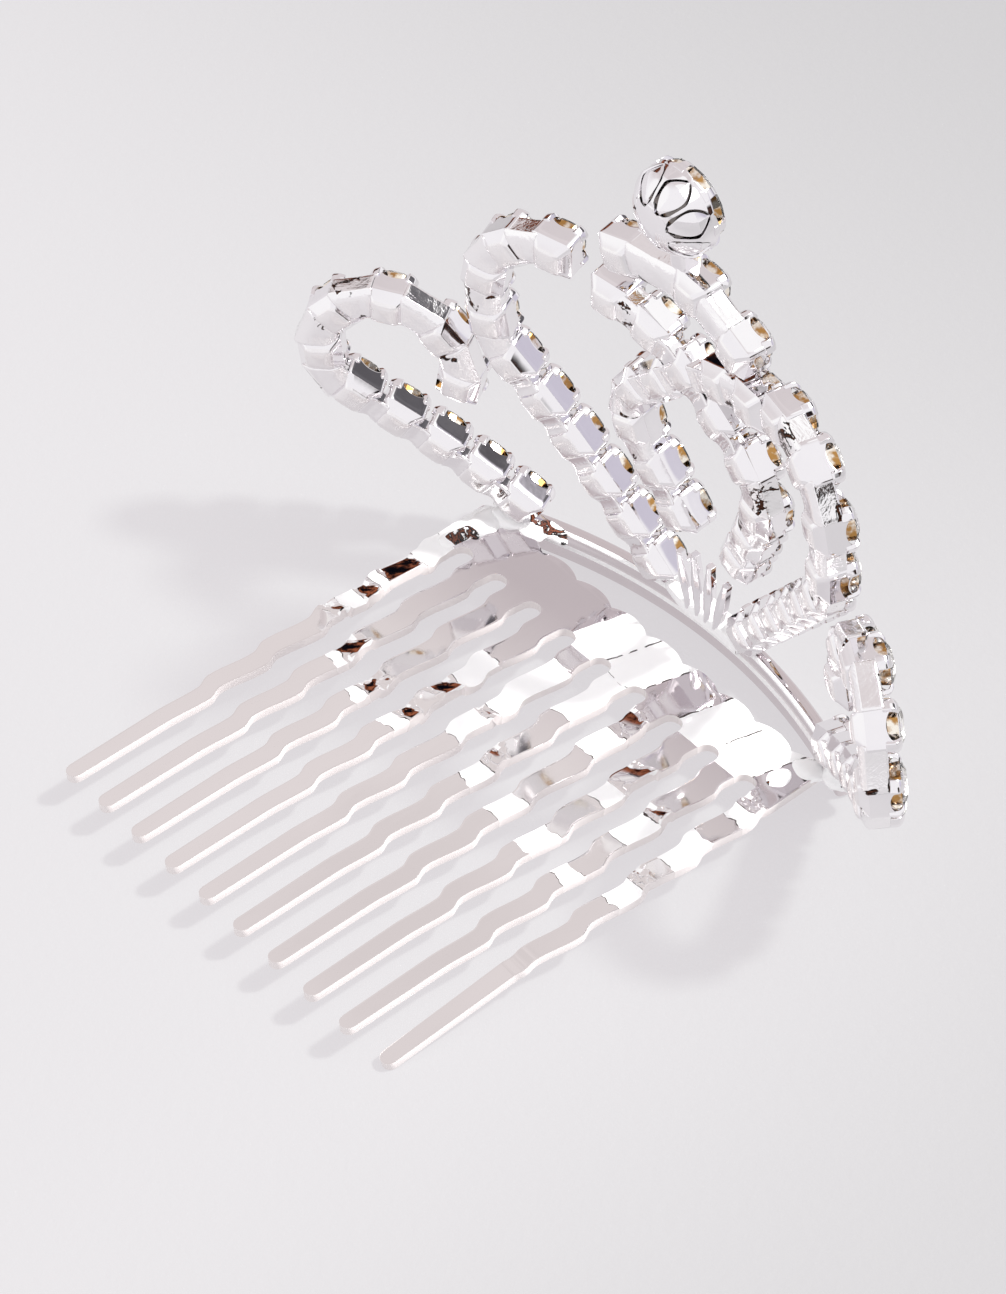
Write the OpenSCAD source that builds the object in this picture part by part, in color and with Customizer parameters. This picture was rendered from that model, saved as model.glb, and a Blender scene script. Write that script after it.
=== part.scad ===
// Mini tiara of cup-set crystals, soldered to a ten-tooth hair comb.
// Millimetres. X runs along the comb, +Y points away from the teeth, +Z is up. The floor is Z = 0.

/* [Comb] */
// number of teeth
teeth = 10; // [6:1:16]
// distance from one tooth to the next
tooth_pitch = 3.6; // [3:0.1:5]
// length of the slots between the teeth
slot_len = 33.6; // [20:0.2:45]
// depth of the plate above the slots, to the top of its scallops
plate_depth = 4; // [3:0.1:8]
// thickness of the sheet
sheet_t = 0.66; // [0.4:0.02:1.2]
// tooth width at its base
tooth_base_w = 1.95; // [1.6:0.05:3]
// tooth width at its tip
tooth_tip_w = 1.2; // [0.8:0.1:2]
// length of the straight part at each tip
tip_flat = 11.3; // [4:0.1:20]
// length of one wave in the teeth
wave_len = 4.85; // [3:0.05:10]
// how far a wave sways to each side of the tooth's middle line
wave_sway = 0.21; // [0:0.01:0.6]
// how far the comb sits to the left of the tiara's middle
comb_shift = 1.3; // [-3:0.1:3]
// how far in from its tip the last tooth starts to bend down
bent_len = 13; // [6:0.5:20]

/* [Band] */
// radius of the middle of the band and of the tiara
band_r = 43; // [30:1:60]
// height of the band
band_h = 2.75; // [1.5:0.05:5]
// thickness of the band
band_t = 1.15; // [0.6:0.05:2]
// half of the angle that the band covers
band_half_angle = 23; // [15:1:40]
// gap from the comb's scallops to the band at the middle
band_gap = 3.8; // [1:0.1:8]
// how far the tiara leans back over the comb
lean = 4.7; // [0:0.1:15]

/* [Cups] */
// width of a small cup
cup_w = 3.1; // [2:0.1:5]
// depth of a small cup with its corner claws
cup_d = 2.9; // [2:0.1:5]
// distance from the middle of the band to the back of a cup
cup_back = 1.65; // [1:0.05:3]
// wall of a cup
cup_wall = 0.3; // [0.2:0.05:0.6]
// depth of the pocket that holds the stone
pocket_d = 1.8; // [1:0.1:3]
// bevel round the back of a cup
back_bevel = 0.55; // [0.1:0.05:1]
// how far the back of a cup bulges out
back_crown = 0.35; // [0:0.05:0.8]
// radius of the shallow notch in each side wall
notch_r = 1.3; // [0.8:0.05:2]
// distance between cups on a straight run
run_pitch = 3.5; // [3.2:0.1:5]
// distance between cups on a tight bend
bend_pitch = 4.3; // [3.5:0.1:6]

/* [Centre stone] */
// outside diameter of the large round cup
big_d = 6.4; // [4:0.1:12]
// depth of the large round cup
big_depth = 4.4; // [3:0.1:8]
// how far its middle sits behind the middle of the band
big_set_back = 1; // [0:0.1:3]
// height of its middle above the band
big_height = 38.5; // [20:0.1:60]

/* [Hidden] */
$fn = 48;
slack = 0.1;
tip_y = -21.61;
plate_top = tip_y + slot_len + plate_depth;
comb_half = (teeth - 1) * tooth_pitch / 2;
plate_z = band_h - sheet_t;
band_y = plate_top + band_gap + band_t / 2;
tiara_y = band_y + 0.2;
axis_y = tiara_y - band_r;
cup_front = cup_d - cup_back;
notch_depth = 0.6;

// Runs of cups. A path is a table of legs, each [length, turn in degrees].
// Scroll: foot, heading and legs
scroll_foot = [16.4, 1.7];
scroll_heading = 33.5;
scroll_legs = [[13.6, 0], [21.9, 248]];
scroll_cups = [for (i = [0:4]) i * run_pitch, for (i = [1:5]) 4 * run_pitch + i * bend_pitch];

// Arch: foot, heading and legs
arch_foot = [4.8, 2.3];
arch_heading = 52;
arch_legs = [[17.5, 0], [4.5, 38], [2.3, 0], [9.8, 100]];
arch_cups = [for (i = [0:5]) i * run_pitch, 21.3, 25.5, 29.6, 33.4];

// Centre loop: half of a teardrop from its top down, and the arm from its top up to an arch
loop_foot = [1.9, 2];
loop_tilt = 4.3;
loop_top = [0, 22.3];
loop_heading = -40;
loop_legs = [[6.4, 0], [6.1, -78], [8, 0]];
loop_cups = [3.7, 7.3, 11.1, 14.8, 18.3];
arm_start = [0.5, 24.3];
arm_heading = 24;
arm_legs = [[3, 0], [6, -25]];
arm_cups = [3.8, 7.4];

// Crest: its three cups as [along, up, turn]
crest_cups = [[-5.1, 31.3, 12], [1.6, 32.1, -6], [5.9, 30.3, -20]];
crest_post = 2.45;
crest_top = 33.2;
big_s = 0.4;

// Point and heading at a distance along a path
function leg_end(p, leg) =
    leg[1] == 0
        ? [p[0] + leg[0] * cos(p[2]), p[1] + leg[0] * sin(p[2]), p[2]]
        : let (r = leg[0] * 180 / (PI * leg[1]), a = p[2] + leg[1])
            [p[0] + r * (sin(a) - sin(p[2])), p[1] - r * (cos(a) - cos(p[2])), a];
function along(p, legs, s, i = 0) =
    s <= legs[i][0] || i == len(legs) - 1
        ? leg_end(p, [s, legs[i][1] * s / legs[i][0]])
        : along(leg_end(p, legs[i]), legs, s - legs[i][0], i + 1);
function scroll_at(s) = along([scroll_foot[0], scroll_foot[1], scroll_heading], scroll_legs, s);
function arch_at(s) = along([arch_foot[0], arch_foot[1], arch_heading], arch_legs, s);
function arm_at(s) = along([arm_start[0], arm_start[1], arm_heading], arm_legs, s);
function loop_at(s) = along([loop_top[0], loop_top[1], loop_heading], loop_legs, s);

// Puts a child on the leaning curved face of the tiara, its +Y side outwards
module on_face(p) {
    angle = p[0] * 180 / (PI * band_r);
    rise = p[1] * cos(lean);
    translate([band_r * sin(angle), axis_y + band_r * cos(angle) - rise * tan(lean), band_h + rise])
        rotate([0, 0, -angle])
            rotate([lean, 0, 0])
                rotate([0, -p[2], 0])
                    children();
}

// The centre loop stands a little askew about its foot
function tilted(p) = let (c = cos(loop_tilt), s = sin(loop_tilt))
    [loop_foot[0] + p[0] * c - p[1] * s, loop_foot[1] + p[0] * s + p[1] * c, p[2] + loop_tilt];
function flipped(p) = [-p[0], p[1], 180 - p[2]];

// Small square cup: a bevelled box with a pocket at the front and a round notch in each wall
module cup_profile() {
    b = back_bevel;
    w = cup_w / 2;
    flat_w = 0.6;
    polygon([[-w + b, -cup_back], [-flat_w, -cup_back - back_crown], [flat_w, -cup_back - back_crown],
        [w - b, -cup_back], [w, -cup_back + b], [w, cup_front], [-w, cup_front], [-w, -cup_back + b]]);
}

module cup() {
    inner = cup_w - 2 * cup_wall;
    difference() {
        intersection() {
            linear_extrude(cup_w, center = true) cup_profile();
            rotate([0, 90, 0]) linear_extrude(cup_w, center = true) cup_profile();
        }
        translate([-inner / 2, cup_front - pocket_d, -inner / 2]) cube([inner, pocket_d + 1, inner]);
        for (a = [0, 90])
            rotate([0, a, 0])
                translate([0, cup_front + notch_r - notch_depth, 0])
                    cylinder(r = notch_r, h = cup_w + 1, center = true);
    }
}

// Solder link at the back, between two cups. It is wider and deeper where a run bends.
module link(length) {
    bend = length > 2;
    link_w = bend ? 2.1 : 1.3;
    link_t = bend ? 1.3 : 0.9;
    translate([-length / 2, -cup_back + 0.15, -link_w / 2]) cube([length, link_t, link_w]);
}

// Cut stone: table, crown, girdle and pavilion
module cut_stone(r, table_r, crown_h, girdle_h, pavilion_h, sides) {
    ring = [for (i = [0:sides - 1]) (i + 0.5) * 360 / sides];
    points = [
        for (a = ring) [table_r * cos(a), crown_h, table_r * sin(a)],
        for (a = ring) [r * cos(a), 0, r * sin(a)],
        for (a = ring) [r * cos(a), -girdle_h, r * sin(a)],
        [0, -girdle_h - pavilion_h, 0]
    ];
    culet = 3 * sides;
    faces = [
        [for (i = [0:sides - 1]) i],
        for (k = [0, 1], i = [0:sides - 1])
            [k * sides + i, (k + 1) * sides + i, (k + 1) * sides + (i + 1) % sides, k * sides + (i + 1) % sides],
        for (i = [0:sides - 1]) [2 * sides + i, culet, 2 * sides + (i + 1) % sides]
    ];
    polyhedron(points, faces);
}

module small_stone() {
    pavilion = 1.15;
    girdle = 0.1;
    across = cup_w / 2 - cup_wall - slack;
    translate([0, cup_front - pocket_d + slack + pavilion + girdle, 0])
        cut_stone(across / cos(22.5), 0.75, 0.45, girdle, pavilion, 8);
}

// A row of cups, and the links between them at the half-way headings
module cup_row(spots, mids) {
    for (p = spots) on_face(p) cup();
    for (m = mids) on_face(m) link(m[3]);
}

function mid_stops(stops) = [for (i = [1:len(stops) - 1]) [(stops[i - 1] + stops[i]) / 2,
    stops[i] - stops[i - 1] - cup_w + 1.3]];

module scroll() {
    cup_row([for (s = scroll_cups) scroll_at(s)],
        [for (m = mid_stops(scroll_cups)) [each scroll_at(m[0]), m[1]]]);
}

module arch() {
    cup_row([for (s = arch_cups) arch_at(s)],
        [for (m = mid_stops(arch_cups)) [each arch_at(m[0]), m[1]]]);
}

module left_half() {
    mirror([1, 0, 0]) children();
}

// Comb: one flat sheet, cut out with waved teeth
tooth_x = [for (i = [0:teeth - 1]) i * tooth_pitch - comb_half];

function slot_end_r() = (tooth_pitch - tooth_base_w) / 2;

// Middle line of a tooth from above: each wave sways fast to the left towards the plate and comes back slowly
wave_steps = 8;
climb = 0.25;
root_y = tip_y + slot_len - slot_end_r();
knee_y = tip_y + tip_flat;
knee_w = tooth_tip_w + 0.2;
waves = (root_y - knee_y) / wave_len;
function wave_turn(s) = s < climb ? -90 + 180 * s / climb : 90 + 180 * (s - climb) / (1 - climb);
function wave_x(s) =
    s < climb - 1 ? 0
        : s < 0 ? wave_sway * (1 - cos(180 * (s + 1 - climb) / (1 - climb))) / 2
            : -wave_sway * sin(wave_turn(s - floor(s))) * min(1, 2.5 * (waves - s));
function wave_at(y) = wave_x((y - knee_y) / wave_len);
function tooth_w(y) = y > knee_y
    ? knee_w + (tooth_base_w - knee_w) * (y - knee_y) / (root_y - knee_y)
    : tooth_tip_w + (knee_w - tooth_tip_w) * (y - tip_y - tooth_tip_w / 2) / (tip_flat - tooth_tip_w / 2);

module tooth_plan(x, far_y) {
    lead = (1 - climb) * wave_len;
    step = wave_len / wave_steps;
    rows = [far_y, for (y = [knee_y - lead:step:root_y - step / 3]) if (y > far_y) y, root_y];
    polygon([for (y = rows) [x + wave_at(y) - tooth_w(y) / 2, y],
        for (i = [len(rows) - 1:-1:0]) [x + wave_at(rows[i]) + tooth_w(rows[i]) / 2, rows[i]]]);
}

module comb_plan() {
    half_w = comb_half + tooth_base_w / 2;
    scallop = 0.5;
    bump_r = (tooth_pitch * tooth_pitch / 4 + scallop * scallop) / (2 * scallop);
    difference() {
        union() {
            translate([-half_w, root_y - 0.01]) square([2 * half_w, plate_top - scallop - root_y]);
            intersection() {
                for (x = tooth_x) translate([x, plate_top - bump_r]) circle(bump_r);
                translate([-half_w, plate_top - 2]) square([2 * half_w, 3]);
            }
        }
        for (i = [1:teeth - 1]) translate([tooth_x[i] - tooth_pitch / 2, root_y]) circle(slot_end_r());
    }
    for (i = [0:teeth - 2]) {
        tooth_plan(tooth_x[i], tip_y + tooth_tip_w / 2);
        translate([tooth_x[i], tip_y + tooth_tip_w / 2]) circle(d = tooth_tip_w);
    }
    tooth_plan(tooth_x[teeth - 1], tip_y + bent_len);
}

// The last tooth was bent down in use, and its tip reaches the floor
module bent_tip() {
    drop = asin((plate_z + 0.004) / (bent_len - 1.5 + tooth_tip_w / 2));
    inward = 4;
    bend_y = tip_y + bent_len;
    wide = tooth_w(bend_y) / 2;
    translate([tooth_x[teeth - 1] + wave_at(bend_y), bend_y, plate_z + sheet_t / 2])
        rotate([drop, 0, 0])
            rotate([0, 0, -inward])
                translate([0, 0, -sheet_t / 2])
                    linear_extrude(sheet_t) {
                        polygon([[-wide, 0.25], [-tooth_tip_w / 2, -bent_len + 1.5],
                            [tooth_tip_w / 2, -bent_len + 1.5], [wide, 0.25]]);
                        translate([0, -bent_len + 1.5]) circle(d = tooth_tip_w);
                    }
}

module comb() {
    color("silver")
        translate([-comb_shift, 0, 0])
            union() {
                translate([0, 0, plate_z]) linear_extrude(sheet_t) comb_plan();
                bent_tip();
            }
}

// Sector of a ring about the tiara's axis
module ring_sector(r_in, r_out, z_low, height, half_angle) {
    reach = 2 * r_out;
    translate([0, axis_y, z_low])
        intersection() {
            difference() {
                cylinder(r = r_out, h = height, $fn = 200);
                translate([0, 0, -1]) cylinder(r = r_in, h = height + 2, $fn = 200);
            }
            translate([0, 0, -0.5])
                linear_extrude(height + 1)
                    polygon([[0, 0], [-reach * sin(half_angle), reach * cos(half_angle)],
                        [reach * sin(half_angle), reach * cos(half_angle)]]);
        }
}

// Solder that joins an end of the band to a corner of the comb
module end_solder() {
    angle = band_half_angle - 1.5;
    translate([band_r * sin(angle), axis_y + band_r * cos(angle), band_h]) {
        translate([0.9, -0.4, 0]) sphere(r = 1.2);
    }
}

// Slats that fan up from the bar: [along at top, up at top, along at bottom]
slats = [[-1.7, 5.8, -1.2], [-0.1, 6.6, -0.2], [1.5, 6.6, 0.7], [3.2, 6, 1.6]];

module slat(row) {
    bar_top = 0.5;
    run = row[0] - row[2];
    rise = row[1] - bar_top;
    turn = atan2(rise, run);
    length = norm([run, rise]);
    on_face([(row[0] + row[2]) / 2, (row[1] + bar_top) / 2, turn])
        translate([-length / 2, -1.5, -0.4]) cube([length, 0.5, 0.8]);
}

module band() {
    seat_h = 0.7;
    color("gainsboro")
        difference() {
            union() {
                ring_sector(band_r - band_t / 2 - 0.2, band_r + band_t / 2 - 0.2, 0, band_h, band_half_angle);
                ring_sector(band_r - 1.7, band_r + 0.1, band_h - 0.3, 1.1, 5);
                end_solder();
                left_half() end_solder();
                for (row = slats) slat(row);
            }
            for (side = [-1, 1])
                translate([side * 16.2, axis_y + band_r - 2.5, band_h - seat_h + 1])
                    cube([5, 6, 2], center = true);
        }
}

module left_scroll() {
    color("silver") left_half() scroll();
}

module right_scroll() {
    color("silver") scroll();
}

module left_arch() {
    color("lightgray") left_half() arch();
}

module right_arch() {
    color("lightgray") arch();
}

function loop_spots() = [
    tilted([loop_top[0], loop_top[1], 45]),
    for (s = loop_cups) tilted(loop_at(s)),
    for (s = loop_cups) tilted(flipped(loop_at(s)))
];
function arm_spots() = [for (s = arm_cups) arm_at(s), for (s = arm_cups) flipped_arm(s)];
function flipped_arm(s) = let (p = arm_at(s)) [2 * arm_start[0] - p[0], p[1], 180 - p[2]];

module centre_loop() {
    stops = [0, each loop_cups];
    reach = [0, each arm_cups];
    color("silver")
        cup_row([each loop_spots(), each arm_spots()],
            [for (m = mid_stops(stops)) [each tilted(loop_at(m[0])), m[1]],
                for (m = mid_stops(stops)) [each tilted(flipped(loop_at(m[0]))), m[1]],
                for (m = mid_stops(reach)) [each arm_at(m[0]), m[1]],
                for (m = mid_stops(reach)) [each flipped_arm(m[0]), m[1]]]);
}

module crest() {
    color("lightgray") {
        for (p = crest_cups) on_face(p) cup();
        on_face([-1.8, 31.9, 7]) link(4.6);
        on_face([3.8, 31.3, -22]) link(2.6);
        on_face([big_s, crest_top + crest_post / 2, 0])
            translate([-0.8, -1.2, -crest_post / 2 - 0.3]) cube([1.6, 1.6, crest_post - 0.15]);
    }
}

// Large round cup: domed back, leaf-shaped gaps between its claws
big_pocket = 2.2;
big_wall = 0.4;

module centre_setting() {
    claws = 8;
    leaf_r = 0.8;
    dome_r = 3.7;
    r = big_d / 2;
    color("silver")
        on_face([big_s, big_height, 0]) translate([0, -big_set_back, 0])
            difference() {
                intersection() {
                    rotate([-90, 0, 0]) cylinder(r = r, h = big_depth, center = true);
                    translate([0, dome_r - big_depth / 2, 0]) sphere(r = dome_r);
                }
                translate([0, big_depth / 2 - big_pocket, 0])
                    rotate([-90, 0, 0]) cylinder(r = r - big_wall, h = 2 * big_depth);
                for (i = [0:claws / 2 - 1])
                    rotate([0, (i + 0.5) * 360 / claws, 0])
                        translate([0, big_depth / 2 - big_pocket + leaf_r, 0]) {
                            cylinder(r = leaf_r, h = 3 * r, center = true);
                            translate([-leaf_r, 0, -1.5 * r]) cube([2 * leaf_r, big_pocket, 3 * r]);
                        }
            }
}

module centre_stone() {
    pavilion = 1.2;
    girdle = 0.15;
    color("lightcyan")
        on_face([big_s, big_height, 0])
            translate([0, big_depth / 2 - big_set_back - big_pocket + slack + pavilion + girdle, 0])
                cut_stone(big_d / 2 - big_wall - slack, 1.7, 0.6, girdle, pavilion, 16);
}

module stones(spots) {
    color("lightcyan") for (p = spots) on_face(p) small_stone();
}

module right_scroll_stones() {
    stones([for (s = scroll_cups) scroll_at(s)]);
}

module left_scroll_stones() {
    left_half() right_scroll_stones();
}

module right_arch_stones() {
    stones([for (s = arch_cups) arch_at(s)]);
}

module left_arch_stones() {
    left_half() right_arch_stones();
}

module centre_loop_stones() {
    stones([each loop_spots(), each arm_spots()]);
}

module crest_stones() {
    stones(crest_cups);
}

comb();
band();
left_scroll();
right_scroll();
left_arch();
right_arch();
centre_loop();
crest();
centre_setting();
left_scroll_stones();
right_scroll_stones();
left_arch_stones();
right_arch_stones();
centre_loop_stones();
crest_stones();
centre_stone();
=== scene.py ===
"""Mini tiara of cup-set crystals on a wavy ten-tooth comb, dressed over its CAD frame."""

import logging
import math
from dataclasses import dataclass, field
from enum import Enum
from typing import Callable, Iterable, Sequence

import bmesh
import bpy
from mathutils import Matrix, Vector

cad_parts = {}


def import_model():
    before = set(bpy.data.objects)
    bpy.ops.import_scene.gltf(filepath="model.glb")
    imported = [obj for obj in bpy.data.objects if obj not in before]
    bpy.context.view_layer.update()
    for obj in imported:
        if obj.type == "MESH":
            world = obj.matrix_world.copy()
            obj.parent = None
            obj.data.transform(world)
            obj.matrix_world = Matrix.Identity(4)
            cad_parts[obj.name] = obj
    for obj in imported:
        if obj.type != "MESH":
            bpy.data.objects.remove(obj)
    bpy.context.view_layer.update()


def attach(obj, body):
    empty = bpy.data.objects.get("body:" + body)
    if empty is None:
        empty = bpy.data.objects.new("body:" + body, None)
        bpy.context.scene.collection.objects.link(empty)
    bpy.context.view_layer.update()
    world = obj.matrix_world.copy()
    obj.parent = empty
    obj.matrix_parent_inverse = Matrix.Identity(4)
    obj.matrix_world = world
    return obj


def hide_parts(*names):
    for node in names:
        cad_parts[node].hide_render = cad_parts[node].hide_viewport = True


LOG = logging.getLogger("tiara")
MM = 0.001
BODY = "root"
Path = Sequence[Sequence[float]]
Spot = Sequence[float]


def linear(code: str) -> tuple[float, float, float, float]:
    """Turns an sRGB hex colour into linear values.

    Args:
        code: Six hex digits.

    Returns:
        Linear red, green, blue and an alpha of one.
    """
    parts = [int(code[i:i + 2], 16) / 255 for i in (0, 2, 4)]
    lin = [c / 12.92 if c <= 0.04045 else ((c + 0.055) / 1.055) ** 2.4 for c in parts]
    return (lin[0], lin[1], lin[2], 1.0)


def add_node(tree: bpy.types.NodeTree, kind: str, inputs: dict | None = None, **settings) -> bpy.types.Node:
    """Adds a shader node with its settings, values and links.

    Args:
        tree: Node tree that the node goes into.
        kind: Blender's type name of the node.
        inputs: Values or output sockets by input name or index.
        **settings: Properties of the node itself.

    Returns:
        The new node.
    """
    node = tree.nodes.new(kind)
    for key, value in settings.items():
        setattr(node, key, value)
    for key, value in (inputs or {}).items():
        if isinstance(value, bpy.types.NodeSocket):
            tree.links.new(value, node.inputs[key])
        else:
            node.inputs[key].default_value = value
    return node


def figure(tree: bpy.types.NodeTree, operation: str, *terms: float | bpy.types.NodeSocket) -> bpy.types.NodeSocket:
    """Adds a math node.

    Args:
        tree: Node tree that the node goes into.
        operation: Blender's name of the sum.
        *terms: Its values or output sockets, in order.

    Returns:
        The node's result.
    """
    return add_node(tree, "ShaderNodeMath", dict(enumerate(terms)), operation=operation).outputs["Value"]


def blank_material(name: str) -> tuple[bpy.types.Material, bpy.types.NodeTree, bpy.types.Node]:
    """Makes a material with an empty tree, a Principled shader and an output.

    Args:
        name: Name of the material.

    Returns:
        The material, its node tree and the shader node.
    """
    material = bpy.data.materials.new(name)
    material.use_nodes = True
    tree = material.node_tree
    tree.nodes.clear()
    shader = add_node(tree, "ShaderNodeBsdfPrincipled")
    add_node(tree, "ShaderNodeOutputMaterial", {"Surface": shader.outputs["BSDF"]})
    return material, tree, shader


@dataclass(frozen=True)
class Plating:
    """Bright silver-coloured plating over metal. It mirrors the room, with a faint ripple from the casting."""

    name: str
    bright: str
    dull: str
    smooth: float
    rough: float
    ripple_mm: float
    ripple_depth_mm: float
    streak: tuple[float, float, float] = (1.0, 1.0, 1.0)

    def material(self) -> bpy.types.Material:
        """Builds the material.

        Returns:
            The plated metal.
        """
        material, tree, shader = blank_material(self.name)
        place = add_node(tree, "ShaderNodeTexCoord").outputs["Object"]
        drawn = add_node(tree, "ShaderNodeMapping", {"Vector": place, "Scale": self.streak}).outputs["Vector"]
        cloud = add_node(tree, "ShaderNodeTexNoise",
                         {"Vector": drawn, "Scale": 1 / (6 * MM), "Detail": 4.0, "Roughness": 0.6})
        handling = add_node(tree, "ShaderNodeTexNoise",
                            {"Vector": drawn, "Scale": 1 / (0.9 * MM), "Detail": 3.0, "Roughness": 0.7})
        ripple = add_node(tree, "ShaderNodeTexNoise",
                          {"Vector": drawn, "Scale": 1 / (self.ripple_mm * MM), "Detail": 2.0})
        tone = add_node(tree, "ShaderNodeMixRGB", {"Fac": cloud.outputs["Fac"], "Color1": linear(self.bright),
                                                   "Color2": linear(self.dull)})
        tree.links.new(tone.outputs["Color"], shader.inputs["Base Color"])
        polish = add_node(tree, "ShaderNodeMapRange", {"Value": handling.outputs["Fac"], "From Min": 0.35,
                                                       "From Max": 0.75, "To Min": self.smooth,
                                                       "To Max": self.rough})
        tree.links.new(polish.outputs["Result"], shader.inputs["Roughness"])
        bump = add_node(tree, "ShaderNodeBump", {"Height": ripple.outputs["Fac"], "Strength": 1.0,
                                                 "Distance": self.ripple_depth_mm * MM})
        tree.links.new(bump.outputs["Normal"], shader.inputs["Normal"])
        shader.inputs["Metallic"].default_value = 1.0
        return material


@dataclass(frozen=True)
class SheetWithPaintedHighlights(Plating):
    """Stamped sheet with painted highlights: matt white painted over parts of it, as plain white fields parted by
    thin dark lines, and as short white runs on the teeth, with dark ends. The white is a painted reflection, fixed to
    the metal, and stays white from every side. The metal is painted greyer from the teeth to the plate, a painted
    reflection, and the sheet's cut edges are painted pale and matt, as painted light, under a thin rim painted white
    as a highlight.

    A field is its middle and half width along X, in millimetres at 12 mm along Y. A run is a tooth's number from the
    left, and where the run starts and ends along Y.
    """

    painted_white: str = "FFFFFF"
    dark_line: str = "3A3230"
    painted_grey: str = "D9D3D6"
    cut: str = "E9E3E2"
    fields: tuple[tuple[float, float], ...] = ((-1.3, 3.6), (9.5, 3.6), (-18.0, 1.3))
    dark_lines: tuple[float, ...] = (-1.3, 2.3, 5.9, 9.5, 13.1)
    dark_line_half: float = 0.06
    start_mm: float = 11.1
    skew: float = 0.28
    grey_from_mm: float = 3.0
    grey_to_mm: float = 12.5
    first_mm: float = -17.5
    pitch_mm: float = 3.6
    tooth_half: float = 1.5
    end_half: float = 0.055
    wobble_mm: float = 1.4
    broken_at: float = 0.47
    runs: tuple[tuple[int, float, float], ...] = (
        (0, 8.7, 11.3), (0, 4.9, 5.7), (0, 2.0, 3.4), (1, -1.9, -1.2), (2, -3.1, -2.3), (3, 3.1, 6.4),
        (3, -3.0, -1.9), (4, -0.4, 2.4), (4, 3.2, 9.4), (5, -2.3, -0.5), (5, 6.2, 11.2), (6, -2.9, -0.6),
        (6, 5.3, 7.9), (7, -3.3, -1.0), (7, 2.9, 4.8), (8, -3.5, -2.0), (8, 1.7, 4.4), (9, -2.3, 0.0),
        (9, 2.7, 6.1), (9, 8.4, 9.7))

    def material(self) -> bpy.types.Material:
        """Builds the material.

        Returns:
            The plated sheet with its painted white highlights.
        """
        material = super().material()
        tree = material.node_tree
        shader = next(node for node in tree.nodes if node.type == "BSDF_PRINCIPLED")
        place = add_node(tree, "ShaderNodeTexCoord").outputs["Object"]
        apart = add_node(tree, "ShaderNodeSeparateXYZ", {"Vector": place})
        # Painted reflection: the metal is painted greyer from the teeth towards the plate
        wear_and_painted_grey = add_node(tree, "ShaderNodeMapRange", {"Value": apart.outputs["Y"],
                                                     "From Min": self.grey_from_mm * MM,
                                                     "From Max": self.grey_to_mm * MM,
                                                     "To Min": 0.0, "To Max": 1.0})
        metal = add_node(tree, "ShaderNodeMixRGB", {"Fac": wear_and_painted_grey.outputs["Result"], "Color2": linear(self.painted_grey),
                                                    "Color1": shader.inputs["Base Color"].links[0].from_socket})
        edge = add_node(tree, "ShaderNodeTexNoise", {"Vector": place, "Scale": 1 / (self.wobble_mm * MM),
                                                     "Detail": 2.0}).outputs["Fac"]
        # Painted highlights: white fields and runs fixed to the metal, with thin dark lines between them and at the
        # runs' ends
        white, dark = self.plate_masks(tree, apart, edge)
        white, dark = self.tooth_masks(tree, apart, edge, white, dark)
        run = add_node(tree, "ShaderNodeMixRGB", {"Fac": white, "Color1": metal.outputs["Color"],
                                                  "Color2": linear(self.painted_white)})
        lined = add_node(tree, "ShaderNodeMixRGB", {"Fac": dark, "Color1": run.outputs["Color"],
                                                    "Color2": linear(self.dark_line)})
        # Painted light on the cut edges, picked by how each face is turned: the rim bevel painted white as a
        # highlight, the walls painted pale
        normal = add_node(tree, "ShaderNodeNewGeometry").outputs["Normal"]
        facing = add_node(tree, "ShaderNodeSeparateXYZ", {"Vector": normal}).outputs["Z"]
        rim_and_wall = figure(tree, "COMPARE", facing, 0.0, 0.9)
        wall = figure(tree, "COMPARE", facing, 0.0, 0.42)
        tint = add_node(tree, "ShaderNodeMixRGB", {"Fac": wall, "Color1": linear(self.painted_white),
                                                   "Color2": linear(self.cut)})
        edged = add_node(tree, "ShaderNodeMixRGB", {"Fac": rim_and_wall, "Color1": lined.outputs["Color"],
                                                    "Color2": tint.outputs["Color"]})
        tree.links.new(edged.outputs["Color"], shader.inputs["Base Color"])
        # The painted white, the dark lines and the painted edges are matt, not metal
        matt = figure(tree, "MULTIPLY_ADD", rim_and_wall, 0.8, figure(tree, "MAXIMUM", white, dark))
        bare = add_node(tree, "ShaderNodeMath", {0: 1.0, 1: matt}, operation="SUBTRACT", use_clamp=True)
        tree.links.new(bare.outputs["Value"], shader.inputs["Metallic"])
        return material

    def plate_masks(self, tree: bpy.types.NodeTree, apart: bpy.types.Node,
                    edge: bpy.types.NodeSocket) -> tuple[bpy.types.NodeSocket, bpy.types.NodeSocket]:
        """Marks the painted white fields of the plate, painted highlights, and the thin dark lines between them.

        Args:
            tree: Node tree of the material.
            apart: Node that gives X, Y and Z.
            edge: Noise that roughens the outlines.

        Returns:
            The mask of the white and the mask of the dark.
        """
        lean = figure(tree, "MULTIPLY_ADD", apart.outputs["Y"], -self.skew, apart.outputs["X"])
        across = figure(tree, "MULTIPLY_ADD", edge, 0.5 * MM, lean)
        above = figure(tree, "GREATER_THAN", apart.outputs["Y"], self.start_mm * MM)
        broken = figure(tree, "GREATER_THAN", edge, self.broken_at)

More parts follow.
